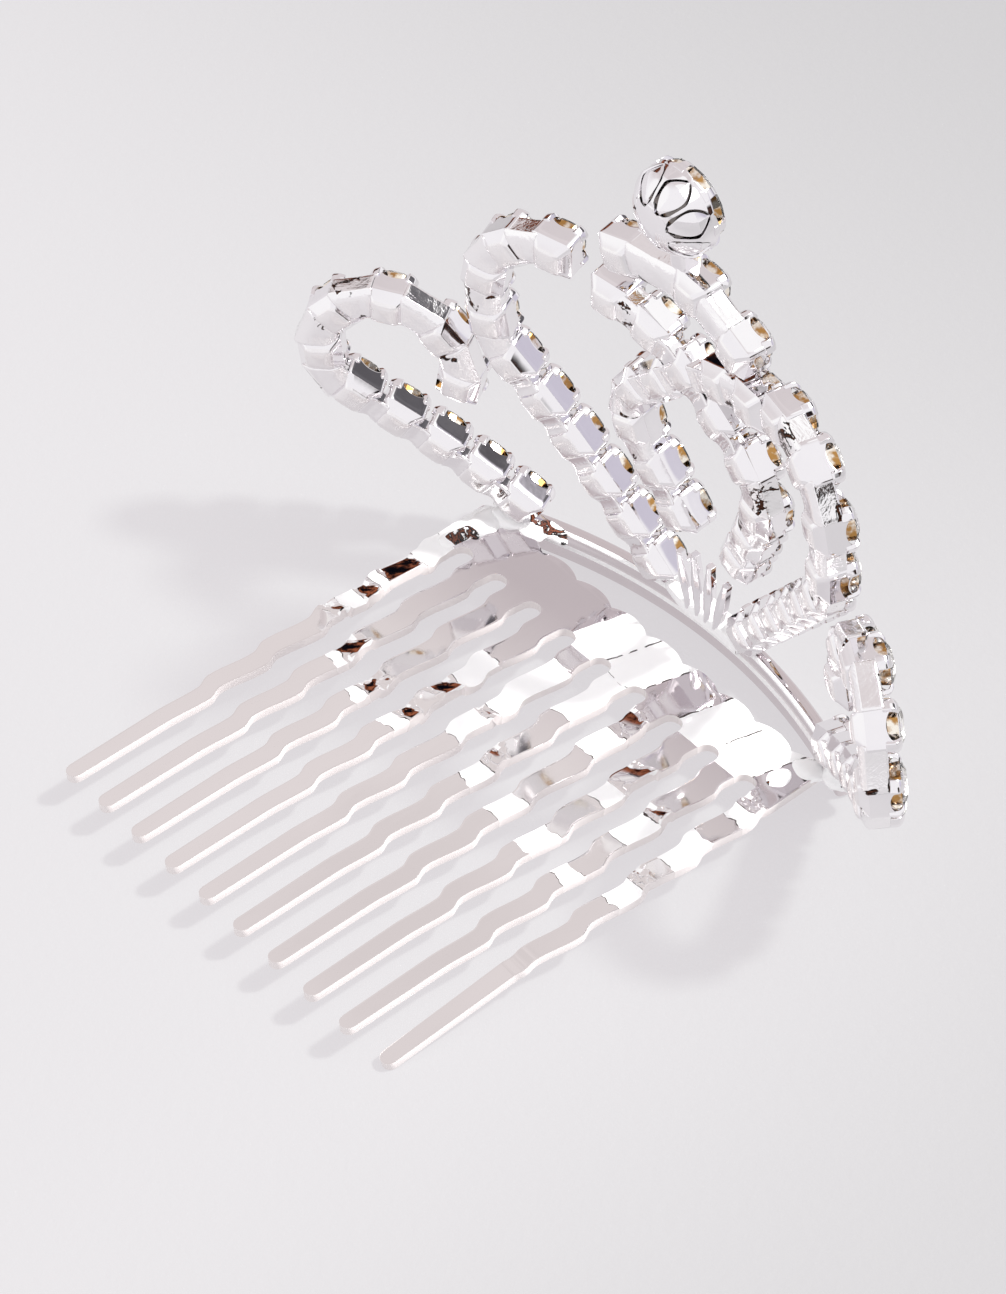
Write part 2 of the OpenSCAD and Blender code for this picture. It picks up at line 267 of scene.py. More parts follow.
        def cover(rows: Sequence[tuple[float, float]], within: bpy.types.NodeSocket) -> bpy.types.NodeSocket:
            """Joins strips and keeps what lies within an area.

            Args:
                rows: Middle and half width of each strip.
                within: Mask of the area.

            Returns:
                The mask of the strips.
            """
            out = within
            for k, (middle, half) in enumerate(rows):
                strip = figure(tree, "COMPARE", across, (middle - 12 * self.skew + 0.25) * MM, half * MM)
                out = strip if k == 0 else figure(tree, "MAXIMUM", out, strip)
            return figure(tree, "MULTIPLY", out, within)

        white = cover(self.fields, above)
        dark = cover([(middle, self.dark_line_half) for middle in self.dark_lines], figure(tree, "MULTIPLY", above, broken))
        return white, dark

    def tooth_masks(self, tree: bpy.types.NodeTree, apart: bpy.types.Node, edge: bpy.types.NodeSocket,
                    white: bpy.types.NodeSocket,
                    dark: bpy.types.NodeSocket) -> tuple[bpy.types.NodeSocket, bpy.types.NodeSocket]:
        """Adds the painted white runs of the teeth, painted highlights, and their dark ends to the plate's masks.

        Args:
            tree: Node tree of the material.
            apart: Node that gives X, Y and Z.
            edge: Noise that roughens the outlines.
            white: Mask of the white so far.
            dark: Mask of the dark so far.

        Returns:
            The mask of the white and the mask of the dark.
        """
        along = figure(tree, "MULTIPLY_ADD", edge, -1.2 * MM, apart.outputs["Y"])
        broken = figure(tree, "GREATER_THAN", edge, self.broken_at)
        for tooth, low, high in self.runs:
            middle, half = ((low + high) / 2 - 0.6) * MM, (high - low) / 2
            column = figure(tree, "COMPARE", apart.outputs["X"], (self.first_mm + tooth * self.pitch_mm) * MM,
                            self.tooth_half * MM)
            inner = figure(tree, "MULTIPLY", figure(tree, "COMPARE", along, middle, half * MM), column)
            white = figure(tree, "MAXIMUM", white, inner)
            wider = figure(tree, "COMPARE", along, middle, (half + self.end_half) * MM)
            ends = figure(tree, "MULTIPLY", figure(tree, "MULTIPLY", wider, column), broken)
            dark = figure(tree, "MAXIMUM", dark, ends)
            dark = figure(tree, "MULTIPLY", dark, figure(tree, "SUBTRACT", 1.0, inner))
        return white, dark


@dataclass(frozen=True)
class PaintedReflectionSolder:
    """Hand-run solder with painted reflections: white, matt where it is no metal, as a painted highlight, with black
    and copper painted reflections that follow its folds.
    """

    name: str
    bright: str
    black: str
    copper: str
    spread: float
    width: float
    metal: float

    def material(self) -> bpy.types.Material:
        """Builds the material.

        Returns:
            The solder.
        """
        material, tree, shader = blank_material(self.name)
        place = add_node(tree, "ShaderNodeTexCoord").outputs["Object"]
        # Painted reflections: dark streaks along the folds, over the painted white
        run = add_node(tree, "ShaderNodeTexNoise", {"Vector": place, "Scale": 1 / (2.1 * MM), "Detail": 5.0,
                                                    "Roughness": 0.62, "Distortion": 0.6})
        offset = add_node(tree, "ShaderNodeMath", {0: run.outputs["Fac"], 1: 0.5}, operation="SUBTRACT")
        dark_streak = add_node(tree, "ShaderNodeMath", {0: offset.outputs["Value"]}, operation="ABSOLUTE")
        where = add_node(tree, "ShaderNodeTexNoise", {"Vector": place, "Scale": 1 / (2.6 * MM), "Detail": 1.0})
        unstreaked = add_node(tree, "ShaderNodeMapRange", {"Value": where.outputs["Fac"], "From Min": self.spread,
                                                      "From Max": self.spread + 0.03, "To Min": 0.2,
                                                      "To Max": 0.0})
        shown = add_node(tree, "ShaderNodeMath", {0: dark_streak.outputs["Value"], 1: unstreaked.outputs["Result"]},
                         operation="ADD")
        ramp = add_node(tree, "ShaderNodeValToRGB", {"Fac": shown.outputs["Value"]})
        for _ in range(2):
            ramp.color_ramp.elements.new(0.5)
        for k, (stop, colour) in enumerate(((0.0, self.copper), (0.012, self.black), (0.026, self.black),
                                            (0.031, self.bright))):
            ramp.color_ramp.elements[k].position = stop * self.width
            ramp.color_ramp.elements[k].color = linear(colour)
        tree.links.new(ramp.outputs["Color"], shader.inputs["Base Color"])
        bump = add_node(tree, "ShaderNodeBump", {"Height": run.outputs["Fac"], "Strength": 1.0,
                                                 "Distance": 0.12 * MM})
        tree.links.new(bump.outputs["Normal"], shader.inputs["Normal"])
        shader.inputs["Metallic"].default_value = self.metal
        shader.inputs["Roughness"].default_value = 0.1
        return material


@dataclass(frozen=True)
class CutCrystal:
    """Clear lead glass, pressed and polished. Its facets bend and mirror the light."""

    name: str
    tint: str
    ior: float

    def material(self) -> bpy.types.Material:
        """Builds the material.

        Returns:
            The glass.
        """
        material, tree, shader = blank_material(self.name)
        place = add_node(tree, "ShaderNodeTexCoord").outputs["Object"]
        wear_and_painted_grey = add_node(tree, "ShaderNodeTexNoise", {"Vector": place, "Scale": 1 / (0.5 * MM), "Detail": 2.0})
        polish = add_node(tree, "ShaderNodeMapRange", {"Value": wear_and_painted_grey.outputs["Fac"], "From Min": 0.5,
                                                       "From Max": 0.9, "To Min": 0.0, "To Max": 0.06})
        tree.links.new(polish.outputs["Result"], shader.inputs["Roughness"])
        shader.inputs["Base Color"].default_value = linear(self.tint)
        shader.inputs["Transmission Weight"].default_value = 1.0
        shader.inputs["IOR"].default_value = self.ior
        return material


@dataclass(frozen=True)
class FoilBack:
    """Silvered back of a crystal under amber lacquer: silver through the glass, gold-brown from outside."""

    name: str
    light: str
    deep: str
    silver: str

    def material(self) -> bpy.types.Material:
        """Builds the material.

        Returns:
            The foil.
        """
        material, tree, shader = blank_material(self.name)
        place = add_node(tree, "ShaderNodeTexCoord").outputs["Object"]
        pooled = add_node(tree, "ShaderNodeTexNoise", {"Vector": place, "Scale": 1 / (0.7 * MM), "Detail": 3.0})
        ramp = add_node(tree, "ShaderNodeValToRGB", {"Fac": pooled.outputs["Fac"]})
        for stop, colour, element in ((0.42, self.deep, 0), (0.58, self.light, 1)):
            ramp.color_ramp.elements[element].position = stop
            ramp.color_ramp.elements[element].color = linear(colour)
        side = add_node(tree, "ShaderNodeNewGeometry").outputs["Backfacing"]
        colour = add_node(tree, "ShaderNodeMixRGB", {"Fac": side, "Color1": ramp.outputs["Color"],
                                                     "Color2": linear(self.silver)})
        tree.links.new(colour.outputs["Color"], shader.inputs["Base Color"])
        shader.inputs["Metallic"].default_value = 1.0
        shader.inputs["Roughness"].default_value = 0.14
        return material


@dataclass(frozen=True)
class PaperTable:
    """Opal card that glows by itself, as on a soft light box: painted light from an emission in its material, with no
    lamp under it. Most of its light is this glow, so shadows on it stay faint.
    """

    name: str
    card: str
    glow: str
    strength: float

    def material(self) -> bpy.types.Material:
        """Builds the material.

        Returns:
            The card.
        """
        material, tree, shader = blank_material(self.name)
        place = add_node(tree, "ShaderNodeTexCoord").outputs["Object"]
        tooth = add_node(tree, "ShaderNodeTexNoise",
                         {"Vector": place, "Scale": 1 / (1.1 * MM), "Detail": 4.0, "Roughness": 0.6})
        bump = add_node(tree, "ShaderNodeBump", {"Height": tooth.outputs["Fac"], "Strength": 0.5,
                                                 "Distance": 0.12 * MM})
        tree.links.new(bump.outputs["Normal"], shader.inputs["Normal"])
        shader.inputs["Base Color"].default_value = linear(self.card)
        shader.inputs["Roughness"].default_value = 0.6
        shader.inputs["Specular IOR Level"].default_value = 0.2
        shader.inputs["Emission Color"].default_value = linear(self.glow)
        # Painted light: the glow is weaker towards +Y and towards +X, a painted darkening of the card there
        apart = add_node(tree, "ShaderNodeSeparateXYZ", {"Vector": place})
        falloff = add_node(tree, "ShaderNodeMapRange", {"Value": apart.outputs["Y"], "From Min": -0.01,
                                                        "From Max": 0.11, "To Min": self.strength,
                                                        "To Max": self.strength * 0.69},
                           interpolation_type="SMOOTHSTEP")
        aside = add_node(tree, "ShaderNodeMapRange", {"Value": apart.outputs["X"], "From Min": 0.01,
                                                      "From Max": 0.06, "To Min": 1.0, "To Max": 0.82},
                         interpolation_type="SMOOTHSTEP")
        total = add_node(tree, "ShaderNodeMath", {0: falloff.outputs["Result"], 1: aside.outputs["Result"]},
                         operation="MULTIPLY")
        tree.links.new(total.outputs["Value"], shader.inputs["Emission Strength"])
        return material


class Finish(Enum):
    """Finishes that the tiara's pieces take."""

    CUPS = Plating("rhodium_plated_casting", "F8F6F7", "EBE8EB", 0.03, 0.09, 1.3, 0.006)
    # The sheet carries painted white highlights with thin dark lines, and a painted greyer reflection towards the
    # plate
    SHEET = SheetWithPaintedHighlights("plated_stamped_steel", "F9F7F6", "F1EEED", 0.03, 0.08, 3.0, 0.0012, (1.0, 0.3, 1.0))
    SOLDER = Plating("plated_solder", "F7F5F6", "E9E6E8", 0.03, 0.12, 0.9, 0.05)
    # Solder with painted reflections: painted white highlight and painted dark streaks; on bends it stays metal under
    # its painted streaks
    BURNT = PaintedReflectionSolder("solder_painted_reflections", "FFFFFF", "0B090B", "7E4630", 0.55, 2.0, 0.0)
    # Painted highlight: matt white for the band's bright edges and its bar
    RUN = PaintedReflectionSolder("painted_highlight_white", "FFFFFF", "3A3432", "9A8478", 0.66, 0.6, 0.0)
    SEAM = PaintedReflectionSolder("bend_solder_painted_streaks", "F7F5F6", "15110F", "6A4434", 0.54, 1.0, 1.0)
    # Painted shade: the dark grey of the seat inside the big setting
    TARNISH = Plating("seat_painted_shade", "8C8683", "5E5855", 0.2, 0.4, 1.3, 0.006)
    STRIP = Plating("plated_rolled_strip", "E6DFE0", "DAD3D5", 0.03, 0.1, 2.2, 0.003)
    FROST = Plating("frosted_cup_back", "F9F7F7", "EAE6E7", 0.12, 0.34, 1.3, 0.022)
    CRYSTAL = CutCrystal("cut_lead_crystal", "FFFFFF", 1.57)
    FOIL = FoilBack("amber_lacquered_foil", "FAF4E8", "B98C52", "F8F6F2")
    TABLE = PaperTable("glowing_opal_card", "474A49", "FFFAFE", 0.67)

    def material(self) -> bpy.types.Material:
        """Gives the finish's material, made on its first use."""
        return bpy.data.materials.get(self.value.name) or self.value.material()


# Finishes of a piece, in the order of its material slots
METAL = (Finish.CUPS, Finish.SOLDER, Finish.SEAM, Finish.FROST)
# The band's second and third finishes carry painted reflections and a painted highlight
BAND_METAL = (Finish.CUPS, Finish.BURNT, Finish.RUN, Finish.STRIP)
# The setting's second finish is the painted shade of its seat
SETTING_METAL = (Finish.CUPS, Finish.TARNISH)


class Slot(Enum):
    """Material slots of the record."""

    PLATE = "silver_plate"
    COMB = "comb_plate"
    CRYSTAL = "crystal"


class Bench:
    """The modelling tools, used on one piece at a time in millimetres about the origin."""

    @staticmethod
    def deselect() -> None:
        """Leaves nothing selected."""
        if bpy.context.object and bpy.context.object.mode != "OBJECT":
            bpy.ops.object.mode_set(mode="OBJECT")
        bpy.ops.object.select_all(action="DESELECT")

    @staticmethod
    def activate(piece: bpy.types.Object) -> None:
        """Selects one piece alone and makes it active.

        Args:
            piece: Piece to work on.
        """
        Bench.deselect()
        piece.select_set(True)
        bpy.context.view_layer.objects.active = piece

    @staticmethod
    def named(name: str) -> bpy.types.Object:
        """Names the primitive just added and puts its place into its mesh.

        Args:
            name: Name of the piece and its mesh.

        Returns:
            The piece.
        """
        piece = bpy.context.object
        piece.name = name
        piece.data.name = name
        bpy.ops.object.transform_apply(location=True, rotation=True, scale=True)
        return piece

    @staticmethod
    def box(name: str, size: Sequence[float], centre: Sequence[float]) -> bpy.types.Object:
        """Adds a box.

        Args:
            name: Name of the piece.
            size: Width, depth and height.
            centre: Its middle.

        Returns:
            The box.
        """
        Bench.deselect()
        bpy.ops.mesh.primitive_cube_add(size=1, location=centre)
        bpy.context.object.scale = size
        return Bench.named(name)

    @staticmethod
    def ball(name: str, radius: float, centre: Sequence[float], stretch: Sequence[float],
             cuts: int) -> bpy.types.Object:
        """Adds a stretched ball, as a start for a claw or a lump of solder.

        Args:
            name: Name of the piece.
            radius: Radius before stretching.
            centre: Its middle.
            stretch: Scale along each axis.
            cuts: How finely it is divided.

        Returns:
            The ball.
        """
        Bench.deselect()
        bpy.ops.mesh.primitive_ico_sphere_add(subdivisions=cuts, radius=radius, location=centre)
        bpy.context.object.scale = stretch
        return Bench.named(name)

    @staticmethod
    def pick(piece: bpy.types.Object, kind: str, test: Callable[[Vector, Vector], bool]) -> int:
        """Selects vertices, edges or faces in edit mode by their place and normal.

        Args:
            piece: Piece in edit mode.
            kind: VERT, EDGE or FACE.
            test: Says whether an element with this middle and normal is taken.

        Returns:
            How many were taken.
        """
        bpy.ops.mesh.select_mode(type=kind)
        bpy.ops.mesh.select_all(action="DESELECT")
        mesh = bmesh.from_edit_mesh(piece.data)
        taken = 0
        for item in {"VERT": mesh.verts, "EDGE": mesh.edges, "FACE": mesh.faces}[kind]:
            if kind == "VERT":
                middle, normal = item.co, item.normal
            elif kind == "FACE":
                middle, normal = item.calc_center_median(), item.normal
            else:
                middle = (item.verts[0].co + item.verts[1].co) / 2
                normal = (item.verts[0].normal + item.verts[1].normal) / 2
            if test(middle, normal):
                item.select_set(True)
                taken += 1
        mesh.select_flush_mode()
        bmesh.update_edit_mesh(piece.data)
        return taken

    @staticmethod
    def edit(piece: bpy.types.Object) -> None:
        """Enters edit mode on one piece."""
        Bench.activate(piece)
        bpy.ops.object.mode_set(mode="EDIT")

    @staticmethod
    def leave() -> None:
        """Leaves edit mode."""
        bpy.ops.object.mode_set(mode="OBJECT")

    @staticmethod
    def shift(x: float, y: float, z: float) -> None:
        """Moves what is selected."""
        bpy.ops.transform.translate(value=(x, y, z))

    @staticmethod
    def scale(x: float, y: float, z: float, centre: Sequence[float] = (0, 0, 0)) -> None:
        """Scales what is selected about a point."""
        bpy.ops.transform.resize(value=(x, y, z), center_override=centre)

    @staticmethod
    def reshape(piece: bpy.types.Object, rule: Callable[[Vector], Sequence[float]]) -> None:
        """Moves every vertex of a piece by a rule.

        Args:
            piece: Piece to change.
            rule: Gives a vertex's new place from its old one.
        """
        for vertex in piece.data.vertices:
            vertex.co = rule(vertex.co)
        piece.data.update()

    @staticmethod
    def outwards(piece: bpy.types.Object) -> None:
        """Turns the normals of a piece outwards.

        Args:
            piece: Piece to change.
        """
        Bench.edit(piece)
        bpy.ops.mesh.select_all(action="SELECT")
        bpy.ops.mesh.normals_make_consistent(inside=False)
        Bench.leave()

    @staticmethod
    def modify(piece: bpy.types.Object, kind: str, **settings) -> None:
        """Adds a modifier and applies it.

        Args:
            piece: Piece to change.
            kind: Blender's type name of the modifier.
            **settings: Its properties.
        """
        Bench.activate(piece)
        modifier = piece.modifiers.new(kind.lower(), kind)
        for key, value in settings.items():
            setattr(modifier, key, value)
        bpy.ops.object.modifier_apply(modifier=modifier.name)

    @staticmethod
    def smooth(piece: bpy.types.Object, degrees: float) -> None:
        """Smooths the shading across every edge flatter than an angle.

        Args:
            piece: Piece to smooth.
            degrees: The angle.
        """
        Bench.activate(piece)
        bpy.ops.object.shade_smooth_by_angle(angle=math.radians(degrees))

    @staticmethod
    def copy(piece: bpy.types.Object, place: Matrix) -> bpy.types.Object:
        """Copies a piece with its own mesh to a place.

        Args:
            piece: Model to copy.
            place: Transform put into the copy's mesh.

        Returns:
            The copy.
        """
        twin = piece.copy()
        twin.data = piece.data.copy()
        bpy.context.scene.collection.objects.link(twin)
        twin.data.transform(place)
        if place.determinant() < 0:
            twin.data.flip_normals()
        return twin

    @staticmethod
    def join(pieces: Iterable[bpy.types.Object], name: str) -> bpy.types.Object:
        """Joins pieces into one.

        Args:
            pieces: What to join.
            name: Name of the result.

        Returns:
            The joined piece.
        """
        several = list(pieces)
        Bench.deselect()
        for piece in several:
            piece.select_set(True)
        bpy.context.view_layer.objects.active = several[0]
        if len(several) > 1:
            bpy.ops.object.join()
        whole = bpy.context.object
        whole.name = name
        whole.data.name = name
        return whole

    @staticmethod
    def drop(piece: bpy.types.Object) -> None:
        """Removes a model that only its copies are needed of."""
        bpy.data.objects.remove(piece, do_unlink=True)

    @staticmethod
    def dress(piece: bpy.types.Object, finishes: Sequence[Finish], index: int = 0) -> None:
        """Gives a piece its finishes and puts all of its faces into one of them.

        Args:
            piece: Piece to dress.
            finishes: Finishes in the order of the piece's material slots.
            index: Number of the finish that its faces take.
        """
        piece.data.materials.clear()
        for finish in finishes:
            piece.data.materials.append(finish.material())
        for face in piece.data.polygons:
            face.material_index = index

    @staticmethod
    def hand_over(piece: bpy.types.Object, finishes: Sequence[Finish], slot: Slot, nodes: Sequence[str]) -> None:
        """Brings a finished piece into metres, dresses it and ties it to the frame.

        Args:
            piece: Piece in millimetres.
            finishes: Finishes for a piece that isn't dressed yet.
            slot: Slot of the record; not used.
            nodes: CAD nodes that it stands for.
        """
        piece.data.transform(Matrix.Scale(MM, 4))
        if not piece.data.materials:
            Bench.dress(piece, finishes)
        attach(piece, BODY)
        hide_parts(*nodes)
        LOG.info("%s: %d faces", piece.name, len(piece.data.polygons))


@dataclass
class Layout:
    """Where the tiara's runs of cups lie on its leaning curved face."""

    band_r: float = 43.0
    band_h: float = 2.75
    lean: float = 4.7
    tip_y: float = -21.61
    slot_len: float = 33.6
    plate_depth: float = 4.0
    band_gap: float = 3.8
    band_t: float = 1.15
    run_pitch: float = 3.5
    bend_pitch: float = 4.3
    loop_tilt: float = 4.3

    @property
    def plate_top(self) -> float:
        """Top of the comb's scallops along Y."""
        return self.tip_y + self.slot_len + self.plate_depth

    @property
    def axis_y(self) -> float:
        """Where the axis of the curved face stands along Y."""
        return self.plate_top + self.band_gap + self.band_t / 2 + 0.2 - self.band_r

    def on_face(self, spot: Spot) -> Matrix:
        """Gives the place of a spot on the curved face.

        Args:
            spot: Distance along, height above the band, and turn in degrees.

        Returns:
            Its transform, with +Y outwards.
        """
        angle = spot[0] / self.band_r
        rise = spot[1] * math.cos(math.radians(self.lean))
        move = Matrix.Translation((self.band_r * math.sin(angle),
                                   self.axis_y + self.band_r * math.cos(angle)
                                   - rise * math.tan(math.radians(self.lean)),
                                   self.band_h + rise))
        return (move @ Matrix.Rotation(-angle, 4, "Z") @ Matrix.Rotation(math.radians(self.lean), 4, "X")
                @ Matrix.Rotation(math.radians(-spot[2]), 4, "Y"))

    @staticmethod
    def leg_end(start: Spot, leg: Sequence[float]) -> list[float]:
        """Gives the end of one leg.

        Args:
            start: Along, up and heading in degrees.
            leg: Length and turn in degrees.

        Returns:
            Along, up and heading at its end.
        """
        x, y, heading = start
        length, turn = leg
        a = math.radians(heading)
        if abs(turn) < 1e-9:
            return [x + length * math.cos(a), y + length * math.sin(a), heading]
        r = length / math.radians(turn)
        b = math.radians(heading + turn)
        return [x + r * (math.sin(b) - math.sin(a)), y - r * (math.cos(b) - math.cos(a)), heading + turn]

    @classmethod
    def along(cls, start: Spot, legs: Path, distance: float) -> list[float]:
        """Gives the spot at a distance along a path of legs.

        Args:
            start: Along, up and heading in degrees.
            legs: Length and turn of each leg.
            distance: Distance from the start.

        Returns:
            Along, up and heading there.
        """
        spot = list(start)
        for i, leg in enumerate(legs):
            if distance <= leg[0] or i == len(legs) - 1:
                return cls.leg_end(spot, [distance, leg[1] * distance / leg[0]])
            spot = cls.leg_end(spot, leg)
            distance -= leg[0]
        return spot

    def tilted(self, spot: Spot) -> list[float]:
        """Turns a spot of the centre loop about the loop's foot.

        Args:
            spot: Along, up and turn in degrees.

        Returns:
            The turned spot.
        """
        a = math.radians(self.loop_tilt)
        return [1.9 + spot[0] * math.cos(a) - spot[1] * math.sin(a),
                2.0 + spot[0] * math.sin(a) + spot[1] * math.cos(a), spot[2] + self.loop_tilt]


@dataclass
class Run:
    """A run of cups with the solder links between them: stops along a path on the face."""

    start: Spot
    legs: Path
    stops: Sequence[float]
    lead: float | None = None
    mirrored: bool = False
    tilt: bool = False
    about: float = 0.0

    def spot(self, layout: Layout, distance: float) -> list[float]:
        """Gives the spot on the face at a distance along the run.

        Args:
            layout: The tiara's layout.
            distance: Distance from the run's start.

        Returns:
            Along, up and turn in degrees.
        """
        spot = layout.along(self.start, self.legs, distance)
        if self.mirrored:
            spot = [2 * self.about - spot[0], spot[1], 180 - spot[2]]
        return layout.tilted(spot) if self.tilt else spot

    def cups(self, layout: Layout) -> list[list[float]]:
        """Gives the spots of the cups.

        Args:
            layout: The tiara's layout.

        Returns:
            A spot for each stop.
        """
        return [self.spot(layout, s) for s in self.stops]

    def gaps(self, layout: Layout, cup_w: float) -> list[tuple[list[float], float, float]]:
        """Gives the links between the cups.

        Args:
            layout: The tiara's layout.
            cup_w: Width of a cup.

        Returns:
            Spot, length and turn of each link.
        """
        stops = ([self.lead] if self.lead is not None else []) + list(self.stops)
        return [(self.spot(layout, (a + b) / 2), b - a - cup_w, self.spot(layout, b)[2] - self.spot(layout, a)[2])
                for a, b in zip(stops, stops[1:])]


@dataclass
class SmallCup:
    """Square cup with a pillowed back, rounded corners, a scoop in each wall and four claws over the crystal."""

    width: float = 3.1
    front: float = 1.25
    shoulder: float = 0.92
    wall_back: float = -1.1
    wall: float = 0.24
    corner: float = 0.34
    scoop_w: float = 2.5
    scoop_depth: float = 0.72
    bevel: float = 0.52
    pillow: float = 0.38
    side_cuts: int = 12
    corner_cuts: int = 4

    @property
    def slices(self) -> int:
        """Number of points round the cup."""
        return 4 * (self.side_cuts + self.corner_cuts)

    def outline(self, index: int, half: float, corner: float) -> tuple[float, float, float]:
        """Gives a point of a rounded square.

        Args:
            index: Number of the point, from the middle of the right-hand corner onwards.
            half: Half of the square's width.
            corner: Radius of its corners.

        Returns:
            The point's x and z, and how far it lies from the middle of its side.
        """
        quarter = self.side_cuts + self.corner_cuts
        side, k = divmod(index % self.slices, quarter)
        flat = half - corner
        if k <= self.side_cuts:
            u, v = flat * (1 - 2 * k / self.side_cuts), half
        else:
            a = math.radians(90 * (k - self.side_cuts) / self.corner_cuts)
            u, v = -flat - corner * math.sin(a), flat + corner * math.cos(a)
        turn = (lambda x, z: (x, z), lambda x, z: (-z, x), lambda x, z: (-x, -z), lambda x, z: (z, -x))[side]
        return (*turn(u, v), abs(u) if k <= self.side_cuts else half)

    def scoop(self, u: float) -> float:
        """Gives how deep the scoop in a wall is.

        Args:
            u: Distance from the wall's middle.

        Returns:
            The depth below the shoulder.
        """
        share = abs(u) / (self.scoop_w / 2)
        return self.scoop_depth * (1 - share ** 2.2) ** 0.8 if share < 1 else 0.0

    def rings(self) -> list[tuple[float, float, float, float]]:
        """Gives the rings from the middle of the back to the front.

        Returns:
            Half width, corner radius, depth, and the share of the wall's height for each ring.
        """
        inner = self.width / 2 - self.bevel
        back = self.wall_back - self.bevel
        out = []
        for share in (0.2, 0.45, 0.68, 0.86, 0.96, 1.0):
            lift = self.pillow * (1 - share ** 3) ** 0.6
            out.append((inner * share, 0.34 * min(1.0, share + 0.1) * inner, back - lift, 0.0))
        out += [(self.width / 2, self.corner, self.wall_back, share) for share in (0, 0.3, 0.6, 0.8, 0.93, 1.0)]
        return out

    def build(self) -> bpy.types.Object:
        """Models the cup about the origin, its front towards +Y.

        Returns:
            The cup.
        """
        Bench.deselect()
        rings = self.rings()
        bpy.ops.mesh.primitive_circle_add(vertices=self.slices, radius=1.0, fill_type="TRIFAN",
                                          location=(0, rings[0][2], 0), rotation=(math.pi / 2, 0, 0))
        cup = Bench.named("small_cup")
        Bench.edit(cup)
        Bench.pick(cup, "EDGE", lambda c, n: math.hypot(c.x, c.z) > 0.9)
        for k in range(1, len(rings)):
            bpy.ops.mesh.extrude_region_move(TRANSFORM_OT_translate={"value": (0, 1.0, 0)})
        Bench.leave()

        def place(co: Vector) -> Sequence[float]:
            """Gives a vertex of the plain tube its place on the cup.

            Args:
                co: Place of a vertex.

            Returns:
                Its new place.
            """
            if math.hypot(co.x, co.z) < 0.5:
                return 0, rings[0][2] - 0.01, 0
            ring = rings[round(co.y - rings[0][2])]
            index = round(math.atan2(co.z, co.x) / (2 * math.pi / self.slices)) - self.slices // 8
            x, z, off = self.outline(index, ring[0], ring[1])
            if ring[3] == 0:
                return x, ring[2], z
            y = ring[2] + ring[3] * (self.shoulder - self.scoop(off) - ring[2])
            bent = 1 - max(0.0, ring[3] - 0.9) if off > self.scoop_w / 2 else 1.0
            return x * bent, y, z * bent

        Bench.reshape(cup, place)
        Bench.outwards(cup)
        Bench.modify(cup, "SOLIDIFY", thickness=self.wall, offset=-1, use_even_offset=True)
        Bench.modify(cup, "BEVEL", width=0.06, segments=2, limit_method="ANGLE", angle_limit=math.radians(38))
        claws = [self.claw(45 + 90 * k) for k in range(4)]
        cup = Bench.join([cup] + claws, "small_cup")
        Bench.smooth(cup, 42)
        Bench.dress(cup, METAL)
        for face in cup.data.polygons:
            if face.center.y < self.wall_back - self.bevel + 0.01 and face.normal.y < -0.5:
                face.material_index = 3
        return cup

    def claw(self, angle: float) -> bpy.types.Object:
        """Models one corner claw: a rounded tab that rises from the corner and folds in over the crystal.

        Args:
            angle: Turn about the cup's axis in degrees.

        Returns:
            The claw about the origin.
        """
        claw = Bench.box("claw", (0.34, 1.5, 1.0), (0, 0, 0))
        Bench.edit(claw)
        bpy.ops.mesh.select_all(action="SELECT")
        bpy.ops.mesh.subdivide(number_cuts=5)
        Bench.leave()
        reach = (self.width / 2 - self.corner) * 1.414 + self.corner - 0.13

        def fold(co: Vector) -> Sequence[float]:
            """Wraps the tab round the corner, rounds its end and folds it in.

            Args:
                co: Place of a vertex.

            Returns:
                Its new place.
            """
            t = co.y / 1.5 + 0.5
            lean = max(0.0, t - 0.5) / 0.5
            wide = 0.94 * math.sqrt(max(0.05, 1 - (0.86 * t) ** 4))
            radius = reach - 0.5 * lean ** 2 - 0.3 * abs(co.z) * (1 - 0.5 * t)
            return radius + co.x, self.front - 1.2 + 1.14 * t - 0.1 * lean ** 2 + 0.2 * co.x * lean, co.z * wide

        Bench.reshape(claw, fold)
        Bench.modify(claw, "SUBSURF", levels=1, render_levels=1)
        claw.data.transform(Matrix.Rotation(math.radians(angle), 4, "Y"))
        return claw


